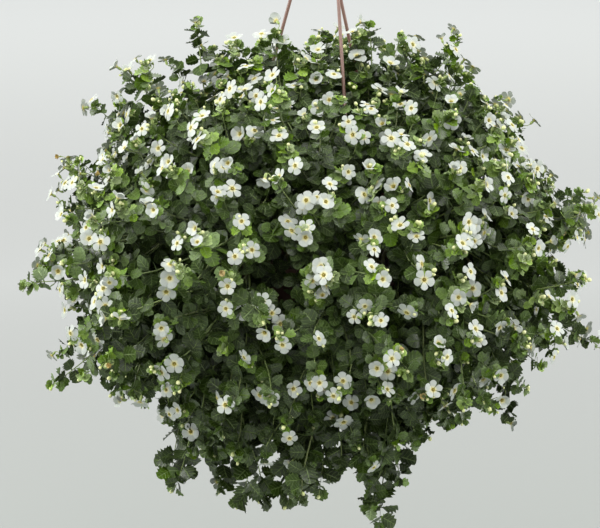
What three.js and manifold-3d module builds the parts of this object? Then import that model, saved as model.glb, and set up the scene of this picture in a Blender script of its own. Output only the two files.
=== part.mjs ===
// A hanging pot of white bacopa. Three coated wire strands run from a hook to holes in the pot's lip,
// and the plant grows out of the soil, over the lip and down past the pot as a wide flowering ball.
// Millimetres, +Z up. The origin is the top of the hook's inside, where it bears on what holds it.

import * as THREE from "three";
import { mergeVertices } from "three/addons/utils/BufferGeometryUtils.js";
import Module from "manifold-3d";

const wasm = await Module();
wasm.setup();

const { Vector2, Vector3 } = THREE;
const DEGREE = Math.PI / 180;
const FIT_GAP = 0.4; // clearance between pieces that touch on the real object

// Driving dimensions: the pot and its soil
const RIM_Z = -416;
const RIM_RADIUS = 112;
const LIP_THICKNESS = 3;
const LIP_WIDTH = 13.5;
const POT_HEIGHT = 132;
const POT_FOOT_RADIUS = 70;
const POT_WALL = 2;
const POT_SEGMENTS = 22;
const SOIL_TOP = RIM_Z - 12;
const DRAIN_HOLES = 4;
const DRAIN_HOLE_RADIUS = 5;
const DRAIN_CIRCLE_RADIUS = 42;

// The hanger: a wire hook in a moulded hub, and three strands
const HOOK_INSIDE_RADIUS = 16;
const HOOK_WIRE_RADIUS = 1.9;
const HUB_TOP_Z = -46;
const HUB_BOTTOM_Z = -60;
const HUB_RADIUS = 13;
const SOCKET_RADIUS = 8.6; // circle of the strands' upper ends
const SOCKET_TOP_Z = -52;
const STRAND_RADIUS = 1.7;
const STRAND_HOLE_CIRCLE = 105;
const STRAND_AZIMUTH = -73.7 * DEGREE; // the front strand's hole in the lip
const HUB_TWIST = 92 * DEGREE; // how far the hub is turned against the lip
const BUTTON_RADIUS = 3.8;

// The bush: half-sizes of the ball that its longest shoots reach, about a centre at rim height
const BUSH_CENTRE = new Vector3(0, 0, -425);
const BUSH_HALF_WIDTH = 296;
const BUSH_LEAN = 15; // it stands this much further out on the left than half its width
const BUSH_HALF_RISE = 238;
const BUSH_HALF_DROP = 200;
const CORE_PEAK = 0.83; // the middle of a spray's core, as a share of the bush's radius
const CORE_SHOULDER = 0.75; // the core's outer corners
const CORE_INSIDE = 0.68;
const CORE_SHRINK = 0.13; // how far each core draws in from its neighbours
const POT_CLEARANCE = 12;

// Leaves and blooms, a little larger than life so that they still cover the bush
const LEAF_LENGTH = 50;
const LEAF_WIDTH = 44;
const LEAF_THICKNESS = 2.4;
const LEAF_CUP = 3;
const BLOOM_RADIUS = 14;
const SHOOT_RADIUS = 1.9;
const ROOT_DEPTH = 6; // how deep shoots are rooted in the core
const LEAF_ROOT_DEPTH = 3;
const LEAF_ROOT_CIRCLE = 11;
const BLOOM_SPREAD = 33; // how far from the middle of its spray a low bloom stands
const LEADER_SPREAD = 5;
const LARGEST_SIZE = 1.1; // of a blade, tried first, against the sizes above
const SMALLEST_SIZE = 0.5;

// The hanging ends of the trailing stems
const TAIL_TOP_RADIUS = 124;
const TAIL_PAIRS = 2;
const TAIL_LEAF_SIZE = 0.7;
const WALL_MARGIN = 0.5; // clearance of each spray's blades from the plane to its neighbour
const STRAND_CLEARANCE = 3.4; // and from the plane through a strand

const STEM_RADIUS = 2.2;
const STEM_SIDES = 3;
const STEM_DEPTH = 18; // how deep a stem stands in the soil
const STEM_HOLE_RADIUS = 7;

const MATERIALS = {
  pot: new THREE.MeshStandardMaterial({ color: 0x7a4a38, roughness: 0.55, metalness: 0 }),
  soil: new THREE.MeshStandardMaterial({ color: 0x2b211a, roughness: 0.95, metalness: 0 }),
  hanger: new THREE.MeshStandardMaterial({ color: 0x84625a, roughness: 0.45, metalness: 0 }),
  plant: new THREE.MeshStandardMaterial({ color: 0x47702c, roughness: 0.6, metalness: 0 }),
};

// Seeded random numbers from 0 to 1
function randomFrom(seed) {
  let state = seed >>> 0;
  return () => {
    state = (state + 0x6d2b79f5) | 0;
    let mixed = Math.imul(state ^ (state >>> 15), 1 | state);
    mixed = (mixed + Math.imul(mixed ^ (mixed >>> 7), 61 | mixed)) ^ mixed;
    return ((mixed ^ (mixed >>> 14)) >>> 0) / 4294967296;
  };
}

const random = randomFrom(7);
const between = (low, high) => low + (high - low) * random();

// A closed three.js geometry as a solid that can be cut and joined
function solidOf(geometry) {
  const bare = geometry.clone();
  bare.deleteAttribute("normal");
  bare.deleteAttribute("uv");
  const merged = mergeVertices(bare, 1e-4);
  return new wasm.Manifold(
    new wasm.Mesh({
      numProp: 3,
      vertProperties: merged.attributes.position.array,
      triVerts: new Uint32Array(merged.index.array),
    }),
  );
}

// A solid back as a geometry, with flat faces
function geometryOf(solid) {
  const mesh = solid.getMesh();
  const geometry = new THREE.BufferGeometry();
  geometry.setAttribute("position", new THREE.BufferAttribute(new Float32Array(mesh.vertProperties), 3));
  geometry.setIndex(new THREE.BufferAttribute(new Uint32Array(mesh.triVerts), 1));
  geometry.computeVertexNormals();
  return geometry;
}

// A solid from its corners and its triangles
function solidFromFaces(corners, faces) {
  const geometry = new THREE.BufferGeometry().setFromPoints(corners);
  geometry.setIndex(faces.flat());
  return solidOf(geometry);
}

// A solid turned about the Z axis, from a closed profile of [radius, z] pairs
function turned(profile, segments) {
  const points = profile.map(([radius, z]) => new Vector2(radius, z));
  return solidOf(new THREE.LatheGeometry(points, segments).rotateX(Math.PI / 2));
}

// A rod with flat sides along a curve
function rod(curve, radius, sides, steps) {
  const corners = Array.from({ length: sides }, (_, i) => {
    const angle = (2 * Math.PI * i) / sides;
    return new Vector2(radius * Math.cos(angle), radius * Math.sin(angle));
  });
  return solidOf(
    new THREE.ExtrudeGeometry(new THREE.Shape(corners), {
      extrudePath: curve,
      steps,
      bevelEnabled: false,
    }),
  );
}

const straightRod = (from, to, radius, sides) => rod(new THREE.LineCurve3(from, to), radius, sides, 1);

// A point at a radius from the Z axis, an azimuth about it and a height
function around(radius, azimuth, z) {
  return new Vector3(radius * Math.cos(azimuth), radius * Math.sin(azimuth), z);
}

// The strands' ends. The hub is turned against the lip, so each strand runs a little askew.
const STRANDS = ["front", "right", "left"].map((name, i) => {
  const azimuth = STRAND_AZIMUTH + (i * 2 * Math.PI) / 3;
  const top = around(SOCKET_RADIUS, azimuth + HUB_TWIST, SOCKET_TOP_Z);
  const foot = around(STRAND_HOLE_CIRCLE, azimuth, RIM_Z + 6);
  return { name, azimuth, top, foot };
});

function potSolid() {
  const foot = RIM_Z - POT_HEIGHT;
  const neck = RIM_RADIUS - LIP_WIDTH;
  let pot = turned(
    [
      [0, foot],
      [POT_FOOT_RADIUS, foot],
      [neck, RIM_Z - LIP_THICKNESS],
      [RIM_RADIUS, RIM_Z - LIP_THICKNESS],
      [RIM_RADIUS, RIM_Z],
      [neck - POT_WALL, RIM_Z],
      [POT_FOOT_RADIUS - POT_WALL, foot + POT_WALL],
      [0, foot + POT_WALL],
    ],
    POT_SEGMENTS,
  );
  for (const { azimuth } of STRANDS) {
    const low = around(STRAND_HOLE_CIRCLE, azimuth, RIM_Z - 2 * LIP_THICKNESS);
    const high = around(STRAND_HOLE_CIRCLE, azimuth, RIM_Z + LIP_THICKNESS);
    pot = pot.subtract(straightRod(low, high, STRAND_RADIUS + 2 * FIT_GAP, 6));
  }
  for (let i = 0; i < DRAIN_HOLES; i++) {
    const azimuth = (2 * Math.PI * i) / DRAIN_HOLES;
    const low = around(DRAIN_CIRCLE_RADIUS, azimuth, foot - POT_WALL);
    const high = around(DRAIN_CIRCLE_RADIUS, azimuth, foot + 2 * POT_WALL);
    pot = pot.subtract(straightRod(low, high, DRAIN_HOLE_RADIUS, 6));
  }
  return pot;
}

// The pot's inside radius at a height
function potInside(z) {
  const top = RIM_RADIUS - LIP_WIDTH - POT_WALL;
  const low = POT_FOOT_RADIUS - POT_WALL;
  return top - ((top - low) * (RIM_Z - z)) / (POT_HEIGHT - POT_WALL);
}

// The soil, with one plain hole for each stem
function soilSolid() {
  const low = RIM_Z - POT_HEIGHT + POT_WALL + FIT_GAP;
  const block = turned(
    [
      [0, low],
      [potInside(low) - FIT_GAP, low],
      [potInside(SOIL_TOP) - FIT_GAP, SOIL_TOP],
      [0, SOIL_TOP],
    ],
    POT_SEGMENTS,
  );
  const bores = SITES.map(({ tier, azimuth }) =>
    straightRod(
      around(tier.hole, azimuth, SOIL_TOP - STEM_DEPTH - FIT_GAP),
      around(tier.hole, azimuth, SOIL_TOP + STEM_DEPTH),
      STEM_HOLE_RADIUS,
      3,
    ),
  );
  return block.subtract(wasm.Manifold.union(bores));
}

// The hook: a straight shank that bends over into three quarters of a circle
function hookSolid() {
  const bend = HOOK_INSIDE_RADIUS + HOOK_WIRE_RADIUS;
  const points = [
    new Vector3(0, 0, HUB_BOTTOM_Z + 6),
    new Vector3(0, 0, HUB_TOP_Z),
    new Vector3(5, 0, HUB_TOP_Z + 9),
  ];
  for (let angle = -42; angle <= 198; angle += 24) {
    const turn = angle * DEGREE;
    points.push(new Vector3(bend * Math.cos(turn), 0, bend * Math.sin(turn) - HOOK_INSIDE_RADIUS));
  }
  return rod(new THREE.CatmullRomCurve3(points), HOOK_WIRE_RADIUS, 6, 13);
}

// The hub, with a socket for each strand
function hubSolid() {
  const hub = turned(
    [
      [0, HUB_BOTTOM_Z],
      [HUB_RADIUS, HUB_BOTTOM_Z],
      [HUB_RADIUS, HUB_TOP_Z - 6],
      [HOOK_WIRE_RADIUS + 2, HUB_TOP_Z],
      [0, HUB_TOP_Z],
    ],
    9,
  );
  const sockets = STRANDS.map(({ top, foot }) => {
    const along = foot.clone().sub(top).normalize();
    const from = top.clone().addScaledVector(along, -FIT_GAP);
    return straightRod(from, top.clone().addScaledVector(along, 20), STRAND_RADIUS + 2 * FIT_GAP, 6);
  });
  return hub.subtract(wasm.Manifold.union(sockets));
}

// A strand, with the pin that goes through the lip and the button that holds it there
function strandSolid({ azimuth, top, foot }) {
  const underLip = RIM_Z - LIP_THICKNESS - FIT_GAP;
  const pinEnd = around(STRAND_HOLE_CIRCLE, azimuth, underLip - 2);
  const buttonEnd = around(STRAND_HOLE_CIRCLE, azimuth, underLip - 3.5);
  const buttonTop = around(STRAND_HOLE_CIRCLE, azimuth, underLip);
  const past = foot.clone().addScaledVector(foot.clone().sub(top).normalize(), 1);
  return wasm.Manifold.union([
    straightRod(top, past, STRAND_RADIUS, 6),
    straightRod(foot, pinEnd, STRAND_RADIUS, 6),
    straightRod(buttonTop, buttonEnd, BUTTON_RADIUS, 6),
  ]);
}

// How far the bush's longest shoots reach from its centre in a direction: an egg-like ball with low lumps
function bushRadius(direction) {
  const half = BUSH_HALF_WIDTH - BUSH_LEAN * direction.x;
  const upright = direction.z > 0 ? BUSH_HALF_RISE : BUSH_HALF_DROP;
  const level = 1 - direction.z ** 2;
  const azimuth = Math.atan2(direction.y, direction.x);
  const lumps = 1 + 0.02 * Math.sin(5 * azimuth + 1) + 0.02 * Math.sin(3 * azimuth + 9 * direction.z);
  return lumps / Math.sqrt(level / half ** 2 + direction.z ** 2 / upright ** 2);
}

// How far the room that the pot and the stems beside it need reaches in a direction
function potReach(direction) {
  if (direction.z > 0.2) return 0;
  const drop = Math.max(0, -direction.z);
  const level = Math.sqrt(1 - direction.z ** 2);
  const top = RIM_RADIUS + POT_CLEARANCE;
  const low = POT_FOOT_RADIUS + POT_CLEARANCE;
  const depth = BUSH_CENTRE.z - RIM_Z + POT_HEIGHT + POT_CLEARANCE;
  const side = top / (level + (drop * (top - low)) / depth);
  return Math.min(side, depth / Math.max(drop, 1e-6));
}

// The tiers of sprays, from the crown down. Each stem rises from a hole in the soil, at a radius
// from the axis, and then follows [radius, z] points. A site wanders by up to some degrees.
const TIERS = [
  {
    name: "crown",
    count: 3,
    elevation: 71,
    wander: 0,
    hole: 18,
    leaves: 5,
    way: [[19, -386], [34, -335]],
    stemSteps: 3,
  },
  {
    name: "shoulder",
    count: 9,
    elevation: 44,
    wander: 2,
    hole: 38,
    leaves: 5,
    way: [[39, -386], [80, -350]],
    stemSteps: 3,
    hasLowBloom: true,
  },
  {
    name: "upper",
    count: 12,
    elevation: 17,
    wander: 5,
    hole: 56,
    leaves: 5,
    way: [[57, -400], [95, -379]],
    stemSteps: 4,
    hasLowBloom: true,
  },
  {
    name: "side",
    count: 12,
    elevation: -10,
    wander: 5,
    hole: 70,
    leaves: 5,
    way: [[71, -407], [110, -391], [165, -412]],
    stemSteps: 5,
    hasLowBloom: true,
  },
  {
    name: "trailing",
    count: 9,
    elevation: -41,
    wander: 3,
    hole: 82,
    leaves: 4,
    way: [[82, -404], [98, -397], [117, -403], [128, -436], [127, -500], [TAIL_TOP_RADIUS, -560]],
    stemSteps: 8,
    hasTail: true,
  },
];

// One site for each spray: the direction from the bush's centre to the middle of its share of the ball
function sitesOf(tier) {
  const step = (2 * Math.PI) / tier.count;
  return Array.from({ length: tier.count }, (_, i) => {
    const elevation = (tier.elevation + between(-tier.wander, tier.wander)) * DEGREE;
    const azimuth = STRAND_AZIMUTH + (i + 0.5) * step + 0.7 * between(-tier.wander, tier.wander) * DEGREE;
    const direction = around(Math.cos(elevation), azimuth, Math.sin(elevation));
    return { tier, name: `spray_${tier.name}_${i + 1}`, azimuth, direction };
  });
}

const SITES = TIERS.flatMap(sitesOf);
const HOLLOW_ELEVATION = -72 * DEGREE; // of the open hollow below the pot, which counts as a neighbour
const NEIGHBOUR_ANGLE = 75 * DEGREE;

// The planes that part a spray from its neighbours, each facing into the spray's own share
function wallsOf(site) {
  const others = SITES.map((other) => other.direction).filter(
    (direction) => direction !== site.direction && direction.angleTo(site.direction) < NEIGHBOUR_ANGLE,
  );
  const hollow = around(Math.cos(HOLLOW_ELEVATION), site.azimuth, Math.sin(HOLLOW_ELEVATION));
  return [...others, hollow].map((direction) => {
    const normal = site.direction.clone().sub(direction).normalize();
    return new THREE.Plane(normal, -normal.dot(BUSH_CENTRE));
  });
}

// The upright planes through the two strands that a spray grows between, each facing into its share
function strandWallsOf(site) {
  return STRANDS.flatMap(({ azimuth, top, foot }) => {
    const along = foot.clone().sub(top).setZ(0).normalize();
    const normal = new Vector3(-along.y, along.x, 0);
    const turn = Math.atan2(Math.sin(site.azimuth - azimuth), Math.cos(site.azimuth - azimuth));
    if (Math.abs(turn) > 120 * DEGREE) return [];
    if (turn < 0) normal.negate();
    return [new THREE.Plane(normal, -normal.dot(foot) - STRAND_CLEARANCE)];
  });
}

// The corner directions of a spray's share of the ball: a square in front of it, cut by each wall
function cornersOf(site, walls) {
  const across = new Vector3(0, 0, 1).cross(site.direction).normalize();
  const up = site.direction.clone().cross(across);
  let corners = [[1, 1], [-1, 1], [-1, -1], [1, -1]].map(([x, y]) =>
    site.direction.clone().addScaledVector(across, x).addScaledVector(up, y),
  );
  for (const { normal } of walls) {
    corners = corners.flatMap((here, i) => {
      const next = corners[(i + 1) % corners.length];
      const inside = normal.dot(here);
      const nextInside = normal.dot(next);
      const kept = inside >= 0 ? [here] : [];
      if (inside * nextInside < 0) kept.push(here.clone().lerp(next, inside / (inside - nextInside)));
      return kept;
    });
  }
  return corners.map((corner) => corner.normalize());
}

// A spray's leafy core: a faceted piece of shell between two sizes of the bush
function coreOf(site, walls, strandWalls) {
  const corners = cornersOf(site, walls);
  const middle = corners.reduce((sum, corner) => sum.add(corner), new Vector3()).normalize();
  const drawnIn = corners.map((corner) => corner.clone().lerp(middle, CORE_SHRINK).normalize());
  const at = (direction, reach) => BUSH_CENTRE.clone().addScaledVector(direction, reach);
  const outer = (direction) => at(direction, CORE_SHOULDER * bushRadius(direction));
  const inner = (direction) =>
    at(direction, Math.max(CORE_INSIDE * bushRadius(direction), potReach(direction)));
  const peak = at(middle, CORE_PEAK * bushRadius(middle));
  const count = drawnIn.length;
  const points = [...drawnIn.map(outer), ...drawnIn.map(inner), peak];
  const outside = drawnIn.map((_, i) => [i, (i + 1) % count, 2 * count]);
  const inside = drawnIn.slice(2).map((_, i) => [count, count + i + 2, count + i + 1]);
  const sides = drawnIn.flatMap((_, i) => {
    const next = (i + 1) % count;
    return [
      [i + count, next + count, next],
      [i + count, next, i],
    ];
  });
  const whole = solidFromFaces(points, [...outside, ...inside, ...sides]);
  const trim = (core, { normal, constant }) => core.trimByPlane(normal.toArray(), -constant);
  const solid = strandWalls.reduce(trim, whole);
  return { middle, peak, solid, outside: outside.map((face) => face.map((i) => points[i])) };
}

// The point of a core's outer face that lies in line with a point, seen from the bush's centre
function onCore(core, point) {
  const direction = point.clone().sub(BUSH_CENTRE).normalize();
  const ray = new THREE.Ray(BUSH_CENTRE, direction);
  for (const corners of core.outside) {
    const hit = ray.intersectTriangle(...corners, false, new Vector3());
    if (hit) return hit;
  }
  return BUSH_CENTRE.clone().addScaledVector(direction, CORE_SHOULDER * bushRadius(direction));
}

// A leaf's outline on one side, from its root to its tip, as shares of its length and width
const LEAF_EDGE = [
  [0.3, 0.44],
  [0.48, 0.38],
  [0.68, 0.46],
];

// A leaf: a thin cupped blade with a toothed edge, from its root at the origin along +X, its face up
function leafBlade(size) {
  const length = LEAF_LENGTH * size;
  const side = (sign) =>
    LEAF_EDGE.map(([along, aside]) => {
      const rise = LEAF_CUP * size * (2 * aside) ** 2;
      return new Vector3(along * length, sign * aside * LEAF_WIDTH * size, rise);
    });
  const edge = [new Vector3(), ...side(-1), new Vector3(length, 0, 0), ...side(1).reverse()];
  const count = edge.length;
  const middle = [1, -1].map((sign) => new Vector3(0.5 * length, 0, (sign * LEAF_THICKNESS) / 2));
  const faces = edge.flatMap((_, i) => [
    [i, (i + 1) % count, count],
    [(i + 1) % count, i, count + 1],
  ]);
  return { corners: [...edge, ...middle], faces };
}

// A bloom: five blunt petals round a throat, on a slim three-sided shoot that stands up along +Z
function bloomOnShoot(height, size) {
  const radius = BLOOM_RADIUS * size;
  const edge = [0, 1, 2, 3, 4].flatMap((petal) =>
    [[-20, 1], [20, 1], [36, 0.5]].map(([turn, share]) =>
      around(radius * share, (72 * petal + turn) * DEGREE, height + (share > 0.9 ? 1.2 : 0)),
    ),
  );
  const ring = (z, r) => [14, 134, 254].map((turn) => around(r, turn * DEGREE, z));
  const corners = [
    ...edge,
    ...ring(height - 4, SHOOT_RADIUS),
    ...ring(-ROOT_DEPTH, SHOOT_RADIUS),
    new Vector3(0, 0, height - 2),
  ];
  const neck = edge.length;
  const foot = neck + 3;
  const throat = foot + 3;
  const faces = edge.flatMap((_, i) => [
    [i, (i + 1) % neck, throat],
    [(i + 1) % neck, i, neck + Math.floor(i / 5)],
  ]);
  for (let i = 0; i < 3; i++) {
    const next = (i + 1) % 3;
    faces.push([(5 * i + 5) % neck, neck + i, neck + next]);
    faces.push([neck + next, neck + i, foot + i], [neck + next, foot + i, foot + next]);
  }
  faces.push([foot + 2, foot + 1, foot]);
  return { corners, faces };
}

// A blade's corners moved to a root point, with its X and Z axes along two directions
function placed(blade, root, alongX, alongZ) {
  const matrix = new THREE.Matrix4()
    .makeBasis(alongX, alongZ.clone().cross(alongX), alongZ)
    .setPosition(root);
  return { corners: blade.corners.map((corner) => corner.clone().applyMatrix4(matrix)), faces: blade.faces };
}

const isInside = (corners, walls) =>
  corners.every((corner) => walls.every((wall) => wall.distanceToPoint(corner) >= 0));

// The largest form of a blade that stays inside the walls, tried from oversize down, or none
function fitted(bladeOfSize, walls) {
  for (let size = LARGEST_SIZE; size > SMALLEST_SIZE; size -= 0.04) {
    const blade = bladeOfSize(size);
    if (isInside(blade.corners, walls)) return [blade];
  }
  return [];
}

const levelAcross = (axis) => new Vector3(0, 0, 1).cross(axis).normalize();

// A leaf from a root point, turned about an axis and lifted towards it
function leafFrom(root, axis, turn, lift, walls) {
  const aside = levelAcross(axis).applyAxisAngle(axis, turn);
  const along = aside.clone().multiplyScalar(Math.cos(lift)).addScaledVector(axis, Math.sin(lift));
  const face = axis.clone().multiplyScalar(Math.cos(lift)).addScaledVector(aside, -Math.sin(lift));
  return fitted((size) => placed(leafBlade(size), root, along, face), walls);
}

// The leaves of a spray, which spread from a circle about the middle of its core
function spreadLeaves(core, count, start, walls) {
  return Array.from({ length: count }, (_, i) => {
    const turn = start + (i * 2 * Math.PI) / count;
    const lift = (5 + ((i * 2) % 5) * 6 + between(-3, 3)) * DEGREE;
    const aside = levelAcross(core.middle).applyAxisAngle(core.middle, turn);
    const near = onCore(core, core.peak.clone().addScaledVector(aside, LEAF_ROOT_CIRCLE));
    return leafFrom(near.addScaledVector(core.middle, -LEAF_ROOT_DEPTH), core.middle, turn, lift, walls);
  }).flat();
}

// The shoot that stands out furthest from a spray, with a bloom at its tip
function leader(core, start) {
  const axis = core.middle;
  const aside = levelAcross(axis).applyAxisAngle(axis, start);
  const root = onCore(core, core.peak.clone().addScaledVector(aside, LEADER_SPREAD));
  return placed(bloomOnShoot(between(38, 50), between(0.9, 1)), root, levelAcross(axis), axis);
}

// A lower bloom, which leans out between two leaves of the spray
function lowBloom(core, start, walls) {
  const axis = core.middle;
  const level = levelAcross(axis);
  const bloom = bloomOnShoot(between(24, 32), between(0.85, 1));
  const aside = level.clone().applyAxisAngle(axis, start + 36 * DEGREE);
  return fitted((size) => {
    const lean = axis.clone().addScaledVector(aside, 0.25 * size).normalize();
    const root = onCore(core, core.peak.clone().addScaledVector(aside, BLOOM_SPREAD * size));
    return placed(bloom, root, level.clone().addScaledVector(lean, -level.dot(lean)).normalize(), lean);
  }, walls);
}

// The stem's way from its hole in the soil to its core, all at the azimuth of its site
function stemCurve(site) {
  const { way, hasTail } = site.tier;
  const end = BUSH_CENTRE.clone().addScaledVector(
    site.direction,
    0.5 * (CORE_PEAK + CORE_INSIDE) * bushRadius(site.direction),
  );
  const foot = [site.tier.hole, SOIL_TOP - STEM_DEPTH];
  const points = [foot, ...way].map(([radius, z]) => around(radius, site.azimuth, z));
  points.push(hasTail ? around(site.tailRadius, site.azimuth, site.tailEnd) : end);
  return new THREE.CatmullRomCurve3(points);
}

// The hanging end of a trailing stem: pairs of leaves that droop to its two sides, and a bloom at the tip
function tailBlades(site, curve) {
  const walls = [-1, 1].map((sign) => {
    const edge = site.azimuth + (sign * Math.PI) / site.tier.count;
    return new THREE.Plane(around(1, edge - (sign * Math.PI) / 2, 0), -2 * WALL_MARGIN);
  });
  const down = new Vector3(0, 0, -1);
  const blades = [];
  for (let i = 0; i < TAIL_PAIRS; i++) {
    const root = curve.getPointAt(1 - i / site.tier.stemSteps);
    for (const side of [-1, 1]) {
      const droop = between(10, 45) * DEGREE;
      const aside = around(1, site.azimuth + side * 90 * DEGREE + between(-0.3, 0.3), 0);
      const along = aside.multiplyScalar(Math.cos(droop)).addScaledVector(down, Math.sin(droop));
      const face = around(1, site.azimuth, 0.4);
      face.addScaledVector(along, -face.dot(along)).normalize();
      blades.push(...fitted((size) => placed(leafBlade(TAIL_LEAF_SIZE * size), root, along, face), walls));
    }
  }
  blades.push(placed(bloomOnShoot(12, 0.85), curve.getPointAt(1), around(1, site.azimuth, 0), down));
  return blades;
}

// A whole spray: stem, core, leaves and blooms in one piece
function spraySolid(site) {
  const strandWalls = site.tier.name === "crown" ? strandWallsOf(site) : [];
  const walls = wallsOf(site);
  const keepClear = [
    ...walls.map((wall) => new THREE.Plane(wall.normal, wall.constant - WALL_MARGIN)),
    ...strandWalls,
  ];
  const core = coreOf(site, walls, strandWalls);
  const curve = stemCurve(site);
  const start = between(0, 2 * Math.PI);
  const blades = [
    ...spreadLeaves(core, site.tier.leaves, start, keepClear),
    leader(core, start),
    ...(site.tier.hasLowBloom ? lowBloom(core, start, keepClear) : []),
    ...(site.tier.hasTail ? tailBlades(site, curve) : []),
  ];
  return wasm.Manifold.union([
    core.solid,
    rod(curve, STEM_RADIUS, STEM_SIDES, site.tier.stemSteps),
    ...blades.map(({ corners, faces }) => solidFromFaces(corners, faces)),
  ]);
}

for (const site of SITES.filter(({ tier }) => tier.hasTail)) {
  site.tailRadius = between(88, 118);
  site.tailEnd = between(-656, -622);
}

const hangingPot = new THREE.Group();

function addPiece(name, solid, material) {
  const mesh = new THREE.Mesh(geometryOf(solid), material);
  mesh.name = name;
  hangingPot.add(mesh);
}

addPiece("pot", potSolid(), MATERIALS.pot);
addPiece("potting_soil", soilSolid(), MATERIALS.soil);
addPiece("hanger_hook", hookSolid().add(hubSolid()), MATERIALS.hanger);
for (const strand of STRANDS) addPiece(`hanger_strand_${strand.name}`, strandSolid(strand), MATERIALS.hanger);
for (const site of SITES) addPiece(site.name, spraySolid(site), MATERIALS.plant);

export default hangingPot;
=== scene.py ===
"""A white bacopa in a hanging pot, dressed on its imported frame.

The pot, the potting mix and the hanger are smooth pieces in the places of their solids. Each spray
of the frame is replaced by a leafy piece that is named after it, with its stems, toothed leaves and
buds, and each ring of sprays also by one piece with its blossoms. Shoots start on the spray's own
stem and end on the ball that the plant fills. Lengths are in metres, +Z is up, and the origin is
where the hook bears on what holds it.
"""

import logging
import math
from dataclasses import dataclass, field
from enum import Enum

import bmesh
import bpy
import numpy as np
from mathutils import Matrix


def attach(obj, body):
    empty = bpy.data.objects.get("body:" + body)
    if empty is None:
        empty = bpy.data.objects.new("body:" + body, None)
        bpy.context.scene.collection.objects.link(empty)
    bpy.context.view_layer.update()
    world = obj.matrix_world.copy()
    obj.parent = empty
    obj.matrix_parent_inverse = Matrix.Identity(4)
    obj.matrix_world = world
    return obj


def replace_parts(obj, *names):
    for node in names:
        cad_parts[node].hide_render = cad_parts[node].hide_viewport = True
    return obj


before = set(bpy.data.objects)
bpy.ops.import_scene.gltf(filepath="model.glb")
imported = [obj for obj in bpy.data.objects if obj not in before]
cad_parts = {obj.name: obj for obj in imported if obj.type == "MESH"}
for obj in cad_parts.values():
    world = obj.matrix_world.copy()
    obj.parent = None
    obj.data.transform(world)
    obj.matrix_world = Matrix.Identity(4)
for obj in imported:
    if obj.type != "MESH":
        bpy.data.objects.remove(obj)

LOG = logging.getLogger("bacopa")
MM = 0.001
UP = np.array([0.0, 0.0, 1.0])
GRID_MAP = "grid"
WELD = 2e-6

Array = np.ndarray
Point = tuple[float, float, float]
Ramp = tuple[tuple[float, float], ...]
Tree = bpy.types.NodeTree
Socket = bpy.types.NodeSocket


class Slot(Enum):
    """The record's material slots."""

    POT = "pot_plastic"
    SOIL = "soil"
    HANGER = "hanger_plastic"
    LEAVES = "leaves"
    STEMS = "stems"
    PETALS = "petals"
    CENTRES = "flower_centres"
    BUDS = "buds"


Finishes = dict[Slot, bpy.types.Material]


# Directions, curves and grids


def unit(vectors: Array) -> Array:
    """Vectors scaled to length one along the last axis."""
    return vectors / np.maximum(np.linalg.norm(vectors, axis=-1, keepdims=True), 1e-12)


def dot(a: Array, b: Array) -> Array:
    """Dot products along the last axis, which is kept with length one."""
    return np.sum(a * b, axis=-1, keepdims=True)


def ramp(values: Array, stops: Ramp) -> Array:
    """What a broken line through stops of (value, result) gives for values of any shape."""
    return np.interp(values, *zip(*stops))


def full_turn(count: int) -> Array:
    """Evenly spaced angles round a full turn, in radians."""
    return np.arange(count) * 2 * math.pi / count


def swung(turn: Array, first: Array, second: Array) -> Array:
    """Directions at an angle from the first of two square directions towards the second."""
    return np.cos(turn)[..., None] * first + np.sin(turn)[..., None] * second


def around(radius: Array, azimuth: Array, z: Array) -> Array:
    """Points at a radius from the Z axis, an azimuth in radians about it and a height."""
    radius, azimuth, z = np.broadcast_arrays(radius, azimuth, z)
    return np.stack([radius * np.cos(azimuth), radius * np.sin(azimuth), z], axis=-1)


def spread_directions(count: int) -> Array:
    """Evenly spread unit vectors: equal steps in height, each turned by the golden angle.

    Args:
        count: How many.

    Returns:
        The vectors, shape (count, 3).
    """
    index = np.arange(count) + 0.5
    z = 1 - 2 * index / count
    return around(np.sqrt(1 - z * z), index * math.pi * (3 - math.sqrt(5)), z)


def square_axes(face: Array) -> tuple[Array, Array]:
    """Directions square to given ones.

    The first is the cross product with UP, or with X where the given one is steep, and the second
    is the cross product of the given one with the first, so that the three turn right-handed.

    Args:
        face: Unit directions, shape (count, 3).

    Returns:
        Two unit directions for each.
    """
    steep = np.abs(face[:, 2:]) >= 0.8
    first = unit(np.cross(np.where(steep, np.array([1.0, 0.0, 0.0]), UP), face))
    return first, np.cross(face, first)


def smooth_path(points: Array, steps: int) -> Array:
    """A Catmull-Rom curve through points.

    Each stretch is the cubic whose end slopes are half the step between the neighbours.

    Args:
        points: The points to pass through, shape (..., count, 3).
        steps: Samples in each stretch.

    Returns:
        The samples, shape (..., (count - 1) * steps + 1, 3).
    """
    first = 2 * points[..., :1, :] - points[..., 1:2, :]
    last = 2 * points[..., -1:, :] - points[..., -2:-1, :]
    padded = np.concatenate([first, points, last], axis=-2)
    stretches = points.shape[-2] - 1
    p0, p1, p2, p3 = (padded[..., i : i + stretches, None, :] for i in range(4))
    t = np.linspace(0, 1, steps, endpoint=False)[:, None]
    slope, bend = p2 - p0, 2 * p0 - 5 * p1 + 4 * p2 - p3
    curve = p1 + 0.5 * (slope * t + bend * t**2 + (3 * p1 - p0 - 3 * p2 + p3) * t**3)
    curve = curve.reshape(*points.shape[:-2], stretches * steps, 3)
    return np.concatenate([curve, points[..., -1:, :]], axis=-2)


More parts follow.
